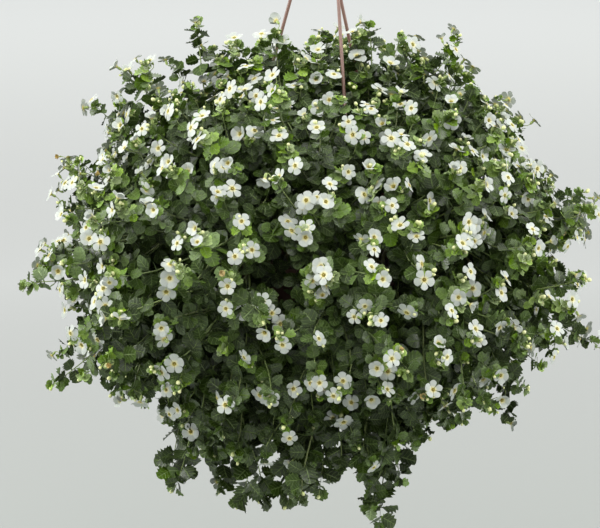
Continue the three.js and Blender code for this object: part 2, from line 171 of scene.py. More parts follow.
def bezier(corners: tuple[Array, ...], t: Array) -> tuple[Array, Array]:
    """Points and unit tangents of cubic Bezier curves.

    Args:
        corners: The four control points, each of shape (count, 3).
        t: Parameters from 0 to 1, shape (count, samples) or (samples,) for all curves.

    Returns:
        Points and tangents, each of shape (count, samples, 3).
    """
    a, b, c, d = (corner[:, None, :] for corner in corners)
    t = np.broadcast_to(t, (len(a), np.shape(t)[-1]))[..., None]
    s = 1 - t
    points = s**3 * a + 3 * s * s * t * b + 3 * s * t * t * c + t**3 * d
    slopes = s * s * (b - a) + 2 * s * t * (c - b) + t * t * (d - c)
    return points, unit(slopes)


def tubes(paths: Array, radii: Array, sides: int) -> Array:
    """Tubes round paths: at each sample a ring of points square to the path.

    Args:
        paths: Samples of each path, shape (count, rows, 3).
        radii: The tube's radius at each sample, shape (rows,).
        sides: Points in a ring.

    Returns:
        Grids of shape (count, rows, sides, 3) that close on themselves sideways.
    """
    along = unit(np.gradient(paths, axis=1))
    chord = np.abs(paths[:, -1] - paths[:, 0])
    square = np.eye(3)[np.argmin(chord, axis=-1)][:, None, :]
    side = unit(np.cross(square, along))
    top = np.cross(along, side)
    ring = swung(full_turn(sides), side[:, :, None, :], top[:, :, None, :])
    return paths[:, :, None, :] + np.asarray(radii)[:, None, None] * ring


def turned(profile: Array, sides: int) -> Array:
    """A surface of revolution about the Z axis.

    Args:
        profile: Rows of (radius, z), from the bottom up on an outside.
        sides: Points round the axis.

    Returns:
        One grid of shape (1, rows, sides, 3) that closes on itself sideways.
    """
    return around(profile[:, :1], full_turn(sides)[None, :], profile[:, 1:])[None]


# Meshes


@dataclass(frozen=True)
class Family:
    """Many small surfaces of one kind, all on grids of the same size.

    Attributes:
        grids: Points, shape (count, rows, columns, 3).
        finish: The slot whose finish they wear.
        spray: The number of the spray that each belongs to.
        age: From 0, just grown, to 1, oldest; the finishes read it.
        tone: A random share from 0 to 1 for each; the finishes read it.
        wraps: Whether the last column joins the first.
    """

    grids: Array
    finish: Slot
    spray: Array
    age: Array
    tone: Array
    wraps: bool = False

    def of(self, sprays: list[int]) -> "Family":
        """The members that belong to some sprays.

        Args:
            sprays: The numbers of the sprays.

        Returns:
            Their part of the family.
        """
        kept = np.isin(self.spray, sprays)
        own = (values[kept] for values in (self.spray, self.age, self.tone))
        return Family(self.grids[kept], self.finish, *own, self.wraps)

    def faces(self) -> tuple[Array, Array]:
        """The quads between neighbouring rows and columns.

        Returns:
            The corner numbers of every quad, shape (quads, 4), and where each corner lies across
            and along its grid, from 0 to 1, shape (quads, 4, 2).
        """
        count, rows, columns = self.grids.shape[:3]
        r = np.arange(rows - 1)[:, None]
        c = np.arange(columns if self.wraps else columns - 1)[None, :]
        below, above, right = r * columns, (r + 1) * columns, (c + 1) % columns
        quads = np.stack([below + c, below + right, above + right, above + c], -1).reshape(-1, 4)
        across = np.stack(np.broadcast_arrays(c, c + 1, c + 1, c), -1) / c.size
        along = np.stack(np.broadcast_arrays(r, r, r + 1, r + 1), -1) / (rows - 1)
        places = np.stack(np.broadcast_arrays(across, along), -1).reshape(-1, 4, 2)
        every = quads[None] + (np.arange(count) * rows * columns)[:, None, None]
        return every.reshape(-1, 4), np.tile(places, (count, 1, 1))


def one_piece(grid: Array, finish: Slot) -> Family:
    """A family whose one member is a large surface that closes on itself sideways.

    Args:
        grid: Its points, shape (1, rows, columns, 3).
        finish: The slot whose finish it wears.

    Returns:
        The family, of middling age and tone.
    """
    only = np.zeros(len(grid))
    return Family(grid, finish, only.astype(int), only + 0.5, only + 0.5, True)


def mesh_piece(name: str, families: list[Family], finishes: Finishes) -> bpy.types.Object:
    """Puts families into one mesh object, merges the points of closed poles and smooths it.

    Args:
        name: The piece's name.
        families: What it is made of.
        finishes: The material of each slot.

    Returns:
        The object, at the origin and riding on the root body.
    """
    # Every grid adds its points, its quads and what the finishes read from them.
    points, corners, places, ages, tones, looks = [], [], [], [], [], []
    slots = list(dict.fromkeys(family.finish for family in families))
    start = 0
    for family in families:
        size = family.grids.shape[1] * family.grids.shape[2]
        quads, spots = family.faces()
        points.append(family.grids.reshape(-1, 3))
        corners.append(quads + start)
        places.append(spots)
        ages.append(np.repeat(family.age, size))
        tones.append(np.repeat(family.tone, size))
        looks.append(np.full(len(quads), slots.index(family.finish)))
        start += len(family.grids) * size
    # The mesh takes them over in one go each.
    faces = np.concatenate(corners)
    mesh = bpy.data.meshes.new(name)
    mesh.vertices.add(start)
    mesh.vertices.foreach_set("co", np.concatenate(points).astype(np.float32).ravel())
    mesh.loops.add(faces.size)
    mesh.loops.foreach_set("vertex_index", faces.astype(np.int32).ravel())
    mesh.polygons.add(len(faces))
    mesh.polygons.foreach_set("loop_start", np.arange(len(faces), dtype=np.int32) * 4)
    mesh.polygons.foreach_set("material_index", np.concatenate(looks).astype(np.int32))
    mesh.update(calc_edges=True)
    grid_map = mesh.uv_layers.new(name=GRID_MAP)
    grid_map.data.foreach_set("uv", np.concatenate(places).astype(np.float32).ravel())
    for label, values in (("age", ages), ("tone", tones)):
        layer = mesh.attributes.new(label, "FLOAT", "POINT")
        layer.data.foreach_set("value", np.concatenate(values).astype(np.float32))
    # Points closer than WELD become one, which closes the poles.
    shape = bmesh.new()
    shape.from_mesh(mesh)
    bmesh.ops.remove_doubles(shape, verts=shape.verts, dist=WELD)
    shape.to_mesh(mesh)
    shape.free()
    mesh.polygons.foreach_set("use_smooth", np.ones(len(mesh.polygons), dtype=bool))
    for slot in slots:
        mesh.materials.append(finishes[slot])
    piece = bpy.data.objects.new(name, mesh)
    bpy.context.scene.collection.objects.link(piece)
    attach(piece, "root")
    mesh.calc_loop_triangles()
    LOG.info("%s: %d triangles", name, len(mesh.loop_triangles))
    return piece


# Finishes


def linear(colour: str) -> tuple[float, float, float, float]:
    """An sRGB hex colour such as '#f4f5f0' as linear RGBA."""
    shares = [int(colour[i : i + 2], 16) / 255 for i in (1, 3, 5)]
    return (*(s / 12.92 if s <= 0.04045 else ((s + 0.055) / 1.055) ** 2.4 for s in shares), 1.0)


def add_node(
    tree: Tree, kind: str, inputs: dict | None = None, output: int | str = 0, **settings
) -> Socket | None:
    """Adds a node with its settings, values and links.

    Map Range takes its value, the old range and the new range as sockets 0 to 4. Mix takes its
    share as socket 0 and its two colours as 6 and 7, and gives the colour as output 2.

    Args:
        tree: The material's node tree.
        kind: The node's type name after 'ShaderNode'.
        inputs: Values, or outputs of other nodes to link, by socket name or number.
        output: The name or number of the output that is wanted.
        **settings: The node's own properties; stops gives a colour ramp's (place, hex) pairs.

    Returns:
        That output, or None on a node that has none.
    """
    node = tree.nodes.new("ShaderNode" + kind)
    for number, (place, colour) in enumerate(settings.pop("stops", ())):
        elements = node.color_ramp.elements
        element = elements[number] if number < 2 else elements.new(place)
        element.position, element.color = place, linear(colour)
    for name, value in settings.items():
        setattr(node, name, value)
    for key, value in (inputs or {}).items():
        if isinstance(value, Socket):
            tree.links.new(value, node.inputs[key])
        else:
            node.inputs[key].default_value = value
    return node.outputs[output] if len(node.outputs) else None


def grid_place(tree: Tree) -> tuple[Socket, Socket]:
    """How far across and how far along its small surface a place lies, each from 0 to 1."""
    across = add_node(tree, "SeparateXYZ", {0: add_node(tree, "UVMap", uv_map=GRID_MAP)})
    return across, across.node.outputs[1]


def mottled(tree: Tree, colour: Socket | str, grain: float, share: float) -> Socket:
    """The colour made darker and lighter by noise on Object coordinates.

    Args:
        tree: The material's node tree.
        colour: The colour to vary, a node's output or a hex colour.
        grain: The size of a patch in metres.
        share: How much darker or lighter the patches get.

    Returns:
        The varied colour.
    """
    plain = linear(colour)[:3] if isinstance(colour, str) else colour
    place = add_node(tree, "TexCoord", output="Object")
    noise = add_node(tree, "TexNoise", {"Vector": place, "Scale": 1 / grain, "Detail": 3.0})
    light = add_node(tree, "MapRange", {0: noise, 1: 0.3, 2: 0.7, 3: 1 - share, 4: 1 + share})
    return add_node(tree, "VectorMath", {0: plain, 1: light}, operation="MULTIPLY")


class Finish:
    """A material on the Principled shader; each kind says what goes into the shader's inputs."""

    name: str

    def surface(self, tree: Tree) -> dict[str, float | Socket]:
        """The shader's inputs by socket name, as plain values or as outputs of nodes."""
        raise NotImplementedError

    def material(self) -> bpy.types.Material:
        """Makes the material.

        Returns:
            The material, whose only shader is on its output.
        """
        material = bpy.data.materials.new(self.name)
        material.use_nodes = True
        tree = material.node_tree
        tree.nodes.clear()
        shader = add_node(tree, "BsdfPrincipled", self.surface(tree))
        add_node(tree, "OutputMaterial", {"Surface": shader})
        return material


@dataclass(frozen=True)
class LivingLeaf(Finish):
    """Bacopa leaf: a thin hairy blade with a waxy skin, satin and matt by turns.

    Its green runs from lime at a shoot's tip to dark green where it is old and shaded; the darkest
    greens, on old shoots deep inside and low down, are partly painted shade. The midrib and the side
    veins are a little paler and lie in shallow furrows. The edge and the tip are lighter and the
    middle darker, which is painted highlight and painted shade on a curled leaf, and some leaves
    are yellower and others greyer than their age asks.

    Attributes:
        stops: The green by age, whose darkest end is partly painted shade.
        light: How dark and how light single leaves get.
        strength: How grey and how strong the green of single leaves gets.
        rim: How dark the middle and how light the edge is, as painted shade and highlight.
        midrib: How much of the vein's colour the midrib shows.
        side_vein: How much of it a side vein shows.
        side_veins: How many side veins there are along the leaf.
        furrow: How deep the veins lie.
        patches: The size of the light and dark patches, and how much they differ.
    """

    name: str = "bacopa_leaf"
    # The dark end of these greens is partly painted shade deep in the plant.
    stops: tuple[tuple[float, str], ...] = (
        (0.0, "#98a675"), (0.16, "#7f9159"), (0.36, "#6a8332"), (0.62, "#4d6428"), (1.0, "#2c3b17")
    )
    vein: str = "#8fa860"
    light: tuple[float, float] = (0.82, 1.68)
    strength: tuple[float, float] = (0.74, 1.22)
    rim: tuple[float, float] = (0.94, 1.26)
    midrib: float = 0.55
    side_vein: float = 0.34
    side_veins: float = 5.0
    furrow: float = 0.9 * MM
    patches: tuple[float, float] = (3.0 * MM, 0.22)

    def surface(self, tree: Tree) -> dict[str, float | Socket]:
        """The green by age, made lighter or darker, greyer or stronger from leaf to leaf.

        Args:
            tree: The material's node tree.

        Returns:
            The shader's inputs by socket name.
        """
        across, along = grid_place(tree)
        aside = add_node(tree, "Math", {0: across, 1: 0.5}, operation="SUBTRACT")
        aside = add_node(tree, "Math", {0: aside}, operation="ABSOLUTE")
        age = add_node(tree, "Attribute", output="Fac", attribute_name="age")
        tone = add_node(tree, "Attribute", output="Fac", attribute_name="tone")
        other = add_node(tree, "Math", {0: tone, 1: 7.0}, operation="MULTIPLY")
        other = add_node(tree, "Math", {0: other}, operation="FRACT")
        edge = add_node(tree, "Math", {0: aside, 1: 2.0}, operation="MULTIPLY")
        edge = add_node(tree, "Math", {0: edge, 1: along}, operation="MAXIMUM")
        low, high = self.light
        shade = add_node(tree, "MapRange", {0: tone, 3: low, 4: high})
        low, high = self.strength
        strength = add_node(tree, "MapRange", {0: other, 3: low, 4: high})
        # Painted light: the middle darker and the edge and tip lighter, as shade and highlight on a
        # curled leaf.
        low, high = self.rim
        rim = add_node(tree, "MapRange", {0: edge, 1: 0.66, 2: 1.0, 3: low, 4: high})
        green = add_node(tree, "ValToRGB", {0: age}, stops=self.stops)
        green = add_node(tree, "VectorMath", {0: green, 1: shade}, operation="MULTIPLY")
        green = add_node(tree, "HueSaturation", {"Saturation": strength, "Color": green})
        green = add_node(tree, "VectorMath", {0: green, 1: rim}, operation="MULTIPLY")
        veins = self.veins(tree, aside, along)
        veined = {0: veins, 6: green, 7: linear(self.vein)}
        colour = add_node(tree, "Mix", veined, 2, data_type="RGBA")
        furrows = {"Strength": 0.9, "Distance": self.furrow, "Height": veins}
        return {
            "Base Color": mottled(tree, colour, *self.patches),
            "Normal": add_node(tree, "Bump", furrows, invert=True),
            "Roughness": 0.38,
            "IOR": 1.42,
            "Specular IOR Level": 0.58,
        }

    def veins(self, tree: Tree, aside: Socket, along: Socket) -> Socket:
        """The midrib and side veins that slant to the tip.

        The midrib fades over a twentieth of the width. The side veins are the crests of a sine of
        the way along less half the way aside.

        Args:
            tree: The material's node tree.
            aside: The way from the midrib, to 0.5 at the edge.
            along: The way along the leaf.

        Returns:
            A share that is high on the midrib and lower on the side veins.
        """
        midrib = add_node(tree, "MapRange", {0: aside, 1: 0.0, 2: 0.05, 3: self.midrib, 4: 0.0})
        slant = add_node(tree, "Math", {0: aside, 1: -0.5}, operation="MULTIPLY")
        step = add_node(tree, "Math", {0: along, 1: slant}, operation="ADD")
        turns = self.side_veins * 2 * math.pi
        step = add_node(tree, "Math", {0: step, 1: turns}, operation="MULTIPLY")
        wave = add_node(tree, "Math", {0: step}, operation="SINE")
        side = add_node(tree, "MapRange", {0: wave, 1: 0.8, 2: 1.0, 3: 0.0, 4: self.side_vein})
        return add_node(tree, "Math", {0: midrib, 1: side}, operation="MAXIMUM")


@dataclass(frozen=True)
class HairyStem(Finish):
    """Bacopa stem: a thin round hairy shoot, pale green where young and brownish at the base."""

    name: str = "bacopa_stem"
    stops: tuple[tuple[float, str], ...] = ((0.0, "#94a55c"), (0.5, "#6f8245"), (1.0, "#5c5236"))
    patches: tuple[float, float] = (2 * MM, 0.14)

    def surface(self, tree: Tree) -> dict[str, float | Socket]:
        """The green by age, in patches, under a faint down of hairs.

        Args:
            tree: The material's node tree.

        Returns:
            The shader's inputs by socket name.
        """
        age = add_node(tree, "Attribute", output="Fac", attribute_name="age")
        green = add_node(tree, "ValToRGB", {0: age}, stops=self.stops)
        colour = mottled(tree, green, *self.patches)
        return {"Base Color": colour, "Roughness": 0.6, "Sheen Weight": 0.15}


@dataclass(frozen=True)
class WhitePetal(Finish):
    """Bacopa petal: a thin white lobe with a velvety skin.

    It is faintly yellow-green near the throat, has fine greyer veins along it, and turns tan when
    the flower is spent.

    Attributes:
        fresh: The white of an open flower.
        base: The yellow-green that it takes on near the throat.
        vein: The grey of its veins.
        spent: The tan of a withered flower.
        light: How dark and how light single petals get.
        patches: The size of the light and dark patches, and how much they differ.
    """

    name: str = "bacopa_petal"
    fresh: str = "#adb3ab"
    base: str = "#d9d39c"
    vein: str = "#b6bdb6"
    spent: str = "#b39a52"
    vein_count: float = 4.0
    light: tuple[float, float] = (0.9, 1.02)
    patches: tuple[float, float] = (2 * MM, 0.04)

    def surface(self, tree: Tree) -> dict[str, float | Socket]:
        """The white with its veins, which are the crests of a cosine of the way across.

        Args:
            tree: The material's node tree.

        Returns:
            The shader's inputs by socket name.
        """
        across, along = grid_place(tree)
        turns = self.vein_count * 2 * math.pi
        turn = add_node(tree, "Math", {0: across, 1: turns}, operation="MULTIPLY")
        wave = add_node(tree, "Math", {0: turn}, operation="COSINE")
        veins = add_node(tree, "MapRange", {0: wave, 1: 0.55, 2: 1.0, 3: 0.0, 4: 0.4})
        near = add_node(tree, "MapRange", {0: along, 1: 0.0, 2: 0.3, 3: 0.9, 4: 0.0})
        low, high = self.light
        age = add_node(tree, "Attribute", output="Fac", attribute_name="age")
        tone = add_node(tree, "Attribute", output="Fac", attribute_name="tone")
        shade = add_node(tree, "MapRange", {0: tone, 3: low, 4: high})
        veined = {0: veins, 6: linear(self.fresh), 7: linear(self.vein)}
        white = add_node(tree, "Mix", veined, 2, data_type="RGBA")
        greened = {0: near, 6: white, 7: linear(self.base)}
        white = add_node(tree, "Mix", greened, 2, data_type="RGBA")
        white = add_node(tree, "VectorMath", {0: white, 1: shade}, operation="MULTIPLY")
        withered = {0: age, 6: white, 7: linear(self.spent)}
        colour = add_node(tree, "Mix", withered, 2, data_type="RGBA")
        return {
            "Base Color": mottled(tree, colour, *self.patches),
            "Roughness": 0.55,
            "Sheen Weight": 0.1,
        }


@dataclass(frozen=True)
class TintedTissue(Finish):
    """Soft flower tissue whose colour changes along it.

    The throat and the anthers are dusted with yellow pollen at the edge and turn brown towards the
    depth, which is painted shade. A bud is tightly rolled petals in soft skin, greenish at the foot
    and cream at the tip.

    Attributes:
        stops: The colour by the way along the surface.
        patches: The size of the light and dark patches, and how much they differ.
    """

    name: str
    stops: tuple[tuple[float, str], ...]
    patches: tuple[float, float]
    roughness: float

    def surface(self, tree: Tree) -> dict[str, float | Socket]:
        """The colour along the surface, in patches.

        Args:
            tree: The material's node tree.

        Returns:
            The shader's inputs by socket name.
        """
        colour = add_node(tree, "ValToRGB", {0: grid_place(tree)[1]}, stops=self.stops)
        return {"Base Color": mottled(tree, colour, *self.patches), "Roughness": self.roughness}


@dataclass(frozen=True)
class MouldedPolypropylene(Finish):
    """Injection-moulded polypropylene: an even matt plastic whose skin has a fine spark grain.

    Attributes:
        grain: The size of a bump of the spark grain.
        depth: Its height.
    """

    name: str
    colour: str
    roughness: float
    grain: float
    depth: float
    patches: tuple[float, float] = (18 * MM, 0.08)

    def surface(self, tree: Tree) -> dict[str, float | Socket]:
        """The plastic's colour, barely uneven, and the grain as a bump.

        Args:
            tree: The material's node tree.

        Returns:
            The shader's inputs by socket name.
        """
        place = add_node(tree, "TexCoord", output="Object")
        scale = 1 / self.grain
        grain = add_node(tree, "TexNoise", {"Vector": place, "Scale": scale, "Detail": 2.0})
        bumps = {"Strength": 0.5, "Distance": self.depth, "Height": grain}
        return {
            "Base Color": mottled(tree, self.colour, *self.patches),
            "Normal": add_node(tree, "Bump", bumps),
            "Roughness": self.roughness,
        }


@dataclass(frozen=True)
class PeatMix(Finish):
    """Potting mix: damp peat fibre and bark crumbs, nearly black, with pale specks of perlite."""

    name: str = "peat_potting_mix"
    stops: tuple[tuple[float, str], ...] = ((0.3, "#2b211a"), (0.7, "#4a3626"))
    perlite: str = "#c9c4b8"
    crumb: float = 3 * MM
    relief: float = 1.2 * MM

    def surface(self, tree: Tree) -> dict[str, float | Socket]:
        """Crumbs of peat and bark from noise, and specks amid three times larger cells.

        Args:
            tree: The material's node tree.

        Returns:
            The shader's inputs by socket name.
        """
        place = add_node(tree, "TexCoord", output="Object")
        scale = 1 / self.crumb
        crumbs = add_node(tree, "TexNoise", {"Vector": place, "Scale": scale, "Detail": 6.0})
        earth = add_node(tree, "ValToRGB", {0: crumbs}, stops=self.stops)
        sizes = {"Vector": place, "Scale": scale / 3}
        cells = add_node(tree, "TexVoronoi", sizes, "Distance")
        specks = add_node(tree, "MapRange", {0: cells, 1: 0.1, 2: 0.16, 3: 1.0, 4: 0.0})
        speckled = {0: specks, 6: earth, 7: linear(self.perlite)}
        bumps = {"Strength": 0.9, "Distance": self.relief, "Height": crumbs}
        return {
            "Base Color": add_node(tree, "Mix", speckled, 2, data_type="RGBA"),
            "Normal": add_node(tree, "Bump", bumps),
            "Roughness": 0.95,
        }


@dataclass(frozen=True)
class PaintedBoard(Finish):
    """Matt painted board of the studio's floor, darker near the middle under the plant as painted
    shade, and a little paler far away.

    Attributes:
        near: How far from the middle the colour starts to change.
        far: How far away it stops.
    """

    name: str = "studio_board_painted_shade"
    # Darker near the middle: painted shade under the plant.
    stops: tuple[tuple[float, str], ...] = ((0.0, "#999d99"), (0.15, "#cdd0ce"), (1.0, "#cccfce"))
    near: float = 2.0
    far: float = 22.0

    def surface(self, tree: Tree) -> dict[str, float | Socket]:
        """The paint by the distance from the middle of the floor, with painted shade near it.

        Args:
            tree: The material's node tree.

        Returns:
            The shader's inputs by socket name.
        """
        place = add_node(tree, "TexCoord", output="Object")
        away = add_node(tree, "VectorMath", {0: place}, "Value", operation="LENGTH")
        share = add_node(tree, "MapRange", {0: away, 1: self.near, 2: self.far})
        # Painted shade near the middle under the plant, even further away.
        paint = add_node(tree, "ValToRGB", {0: share}, stops=self.stops)
        return {"Base Color": paint, "Roughness": 0.9}


def all_finishes() -> Finishes:
    """One material for each slot.

    Returns:
        The materials by slot.
    """
    kinds = {
        Slot.POT: MouldedPolypropylene("pot_polypropylene", "#5a3f34", 0.55, 0.6 * MM, 0.05 * MM),
        Slot.HANGER: MouldedPolypropylene(
            "hanger_polypropylene", "#7b5e53", 0.4, 1.2 * MM, 0.03 * MM
        ),
        Slot.SOIL: PeatMix(),
        Slot.LEAVES: LivingLeaf(),
        Slot.STEMS: HairyStem(),
        Slot.PETALS: WhitePetal(),
        # The throat's brown towards the depth is painted shade.
        Slot.CENTRES: TintedTissue(
            "bacopa_throat", ((0.0, "#d8ca72"), (0.45, "#b9a24e"), (1.0, "#64582a")),
            (0.8 * MM, 0.2), 0.7,
        ),
        Slot.BUDS: TintedTissue(
            "bacopa_bud", ((0.0, "#a9b95e"), (0.4, "#c9d18c"), (1.0, "#dfdfae")),
            (1.5 * MM, 0.1), 0.5,
        ),
    }
    return {slot: finish.material() for slot, finish in kinds.items()}


# The pot and its hanger

STRAND_AZIMUTH = math.radians(-73.7)
RIM_Z = -0.416


@dataclass(frozen=True)
class Strand:
    """One of the three coated wires from the hub to the lip.

    Attributes:
        name: Which one, seen from the front.
        azimuth: Of its hole in the lip, in radians.
        hub_twist: How far the hub is turned against the lip, in radians.
        bend: How far above the lip the wire turns down through it.
        pin: How far the wire goes down past the lip's upper side.
        button: The round button under the lip, as (radius, height over the lip) in mm.
    """

    name: str
    azimuth: float
    radius: float = 1.7 * MM
    socket_circle: float = 8.6 * MM
    socket_z: float = -0.052
    hub_twist: float = math.radians(92)
    hole_circle: float = 0.105
    bend: float = 6 * MM
    pin: float = 5.4 * MM
    button: Ramp = ((0, -7), (3.0, -6.9), (3.7, -6.2), (3.7, -4.6), (3.1, -3.6), (0, -3.5))

    @property
    def top(self) -> Array:
        """Its end in the hub."""
        return around(self.socket_circle, self.azimuth + self.hub_twist, self.socket_z)

    @property
    def foot(self) -> Array:
        """Where it turns down through the lip."""
        return around(self.hole_circle, self.azimuth, RIM_Z + self.bend)

    def build(self, finishes: Finishes) -> None:
        """Makes the wire, a straight run with its pin, and the button as a turned profile.

        Args:
            finishes: The material of each slot.
        """
        below = around(self.hole_circle, self.azimuth, RIM_Z - self.pin)
        straight = self.top + np.linspace(0, 1, 24)[:, None] * (self.foot - self.top)
        path = smooth_path(np.vstack([straight, below]), 2)[None]
        radii = np.full(path.shape[1], self.radius)
        radii[0] = 0.0
        wire = one_piece(tubes(path, radii, 12), Slot.HANGER)
        disc = turned(np.array(self.button) * MM, 16)
        button = one_piece(disc + around(self.hole_circle, self.azimuth, RIM_Z), Slot.HANGER)
        piece = mesh_piece(f"hanger_wire_{self.name}", [wire, button], finishes)
        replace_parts(piece, f"hanger_strand_{self.name}")


STRANDS = tuple(
    Strand(name, STRAND_AZIMUTH + i * 2 * math.pi / 3)
    for i, name in enumerate(("front", "right", "left"))
)


@dataclass(frozen=True)
class HookAndHub:
    """The wire hook that hangs on a ceiling hook or bar, moulded into the hub of the strands.

    Attributes:
        wire: The hook's wire radius.
        inside: The radius of what the hook can hang on.
        arc: The first angle of the bend, the angle past the last, and the step, in degrees.
        hub: The hub as (radius, height over its top) in mm.
    """

    wire: float = 1.9 * MM
    inside: float = 16 * MM
    arc: tuple[int, int, int] = (-42, 199, 24)
    hub_top: float = -0.046
    hub: Ramp = (
        (0, -14), (11.5, -14), (12.7, -13.6), (13, -12.6), (13, -7), (12, -5.6), (6.4, -2.2),
        (3.9, -0.4), (3.3, 0), (0, 0),
    )

    def build(self, finishes: Finishes) -> None:
        """Makes the hook as a tube on a smooth path and the hub as a turned profile.

        Args:
            finishes: The material of each slot.
        """
        bend = self.inside + self.wire
        turn = np.radians(np.arange(*self.arc))
        arc = np.stack([bend * np.cos(turn), 0 * turn, bend * np.sin(turn) - self.inside], axis=-1)
        top = self.hub_top
        shank = [[0, 0, top - 8 * MM], [0, 0, top], [5 * MM, 0, top + 9 * MM]]
        path = smooth_path(np.vstack([shank, arc]), 5)[None]
        radii = np.full(path.shape[1], self.wire)
        radii[[0, -1]] = 0.0
        radii[[1, -2]] = 0.85 * self.wire
        hook = one_piece(tubes(path, radii, 14), Slot.HANGER)
        hub = one_piece(turned(np.array(self.hub) * MM, 40) + top * UP, Slot.HANGER)
        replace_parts(mesh_piece("hook_and_hub", [hook, hub], finishes), "hanger_hook")


@dataclass(frozen=True)
class NurseryPot:
    """The round moulded pot: a thin tapered wall with a flat lip and a flat bottom."""

    rim_radius: float = 0.112
    lip_width: float = 13.5 * MM
    lip_thickness: float = 3 * MM
    height: float = 0.132
    foot_radius: float = 0.070
    wall: float = 2 * MM
    rounding: float = 0.7 * MM
    sides: int = 72

    def build(self, finishes: Finishes) -> None:
        """Makes the pot as one closed turned profile, out and in.

        Args:
            finishes: The material of each slot.
        """
        rim, wall, step, low = self.rim_radius, self.wall, self.rounding, RIM_Z - self.lip_thickness
        foot, foot_z = self.foot_radius, RIM_Z - self.height
        neck = rim - self.lip_width
        walk = np.linspace(0, 1, 14)[1:-1, None]
        outer = np.array([[foot, foot_z + wall]]) * (1 - walk) + np.array([[neck, low]]) * walk
        inner_top = np.array([[neck - wall, RIM_Z - step]])
        inner_low = np.array([[foot - wall, foot_z + 2 * wall]])
        profile = np.vstack(
            [
                [[0, foot_z], [foot - 1.5 * MM, foot_z], [foot, foot_z + 1.2 * MM]],
                outer,
                [[neck, low - step], [neck + step, low], [rim - step, low], [rim, low + step]],
                [[rim, RIM_Z - step], [rim - step, RIM_Z], [neck - wall + step, RIM_Z]],
                inner_top,
                inner_top * (1 - walk) + inner_low * walk,
                [[foot - 2 * wall, foot_z + wall], [0, foot_z + wall]],
            ]
        )
        pot = one_piece(turned(profile, self.sides), Slot.POT)
        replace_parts(mesh_piece("moulded_pot", [pot], finishes), "pot")

    def inside(self, z: float) -> float:
        """The pot's inside radius at a height."""
        top = self.rim_radius - self.lip_width - self.wall
        return top - (top - self.foot_radius + self.wall) * (RIM_Z - z) / (self.height - self.wall)


@dataclass(frozen=True)
class PottingMix:
    """The peat that fills the pot, with a crumbly top.

    Attributes:
        top: The height of its top.
        crumb: How far the top rises and falls.
        gap: The gap to the pot's wall.
        rings: Points from the edge of the top to its middle.
        sides: Points round it.
    """

    top: float = RIM_Z - 12 * MM
    crumb: float = 1.1 * MM
    gap: float = 0.6 * MM
    rings: int = 34
    sides: int = 96

    def build(self, pot: NurseryPot, finishes: Finishes) -> None:
        """Makes the fill as a turned body whose top is raised and lowered by three crossed waves.

        Args:
            pot: What it fills.
            finishes: The material of each slot.
        """
        low = RIM_Z - pot.height + pot.wall + 0.4 * MM
        radii = np.linspace(pot.inside(self.top) - self.gap, 0, self.rings)
        side = np.array([[0, low], [pot.inside(low) - self.gap, low]])
        face = np.stack([radii, np.full(self.rings, self.top)], axis=-1)
        body = turned(np.vstack([side, face]), self.sides)
        x, y = body[0, 3:-1, :, 0], body[0, 3:-1, :, 1]
        waves = np.sin(900 * x + 300 * y) + np.sin(700 * y - 500 * x + 1)
        waves = waves + np.sin(1500 * x + 1300 * y)
        body[0, 3:-1, :, 2] += self.crumb * waves / 3
        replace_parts(mesh_piece("peat_fill", [one_piece(body, Slot.SOIL)], finishes), "potting_soil")


# The plant's shape


@dataclass(frozen=True)
class Bush:
    """The egg-like ball that the longest shoots reach.

    Attributes:
        lean: How much less it reaches to the right than to the left.
        outline: Its reach every 30 degrees as the front view shows it, counted from the right.
        parting: How much lower the crown lies in front of the front strand.
    """

    centre: Point = (0.0, 0.0, -0.425)
    half_width: float = 0.296
    lean: float = 0.015
    half_rise: float = 0.238
    half_drop: float = 0.200
    outline: tuple[float, ...] = (
        0.264, 0.244, 0.243, 0.229, 0.245, 0.251, 0.269, 0.240, 0.237, 0.216, 0.202, 0.221
    )
    parting: float = 0.22

    def reach(self, directions: Array) -> Array:
        """How far the shoots reach from the centre.

        The ball is an ellipsoid with two low waves round the axis. Near the front view's outline
        it goes over into the measured outline, as a bell curve of the way to the front.

        Args:
            directions: Unit directions, shape (count, 3).

        Returns:
            The reach in each direction.
        """
        x, y, z = directions.T
        azimuth = np.arctan2(y, x)
        half = self.half_width - self.lean * x
        upright = np.where(z > 0, self.half_rise, self.half_drop)
        lumps = 1 + 0.02 * np.sin(5 * azimuth + 1) + 0.02 * np.sin(3 * azimuth + 9 * z)
        ball = lumps / np.sqrt((1 - z * z) / half**2 + z * z / upright**2)
        stations = np.arange(len(self.outline) + 1) * 360 / len(self.outline)
        closed = self.outline + self.outline[:1]
        seen = np.interp(np.degrees(np.arctan2(z, x)) % 360, stations, closed)
        ball = ball + np.exp(-((y / 0.4) ** 2)) * (seen - ball)
        aside = np.angle(np.exp(1j * (azimuth - STRAND_AZIMUTH)))
        hollow = np.exp(-((aside / 0.3) ** 2)) * np.exp(-(((z - 0.82) / 0.2) ** 2))
        return ball * (1 - self.parting * hollow)

    def outward(self, points: Array) -> Array:
        """Normals of the ball, as those of its ellipsoid without lumps.

        Args:
            points: Places near it, shape (..., 3).

        Returns:
            Unit normals in the shape of the points.
        """
        offset = points - np.array(self.centre)
        upright = np.where(offset[..., 2:] > 0, self.half_rise, self.half_drop)
        level = np.full(offset.shape[:-1] + (2,), self.half_width)
        return unit(offset / np.concatenate([level, upright], axis=-1) ** 2)

    def looks(self, points: Array, upright: float) -> Array:
        """Unit directions that leaves and flowers turn to.

        They are the ball's normals with a smaller upright part, and with nearly none below the
        middle, since nothing there turns its upper side down.

        Args:
            points: Places near the ball.
            upright: The share of the upright part that stays above the middle.

        Returns:
            Directions in the shape of the points.
        """
        normal = self.outward(points)
        share = np.where(normal[..., 2:] > 0, upright, 0.15)
        return unit(normal * np.concatenate([np.ones(normal.shape[:-1] + (2,)), share], axis=-1))


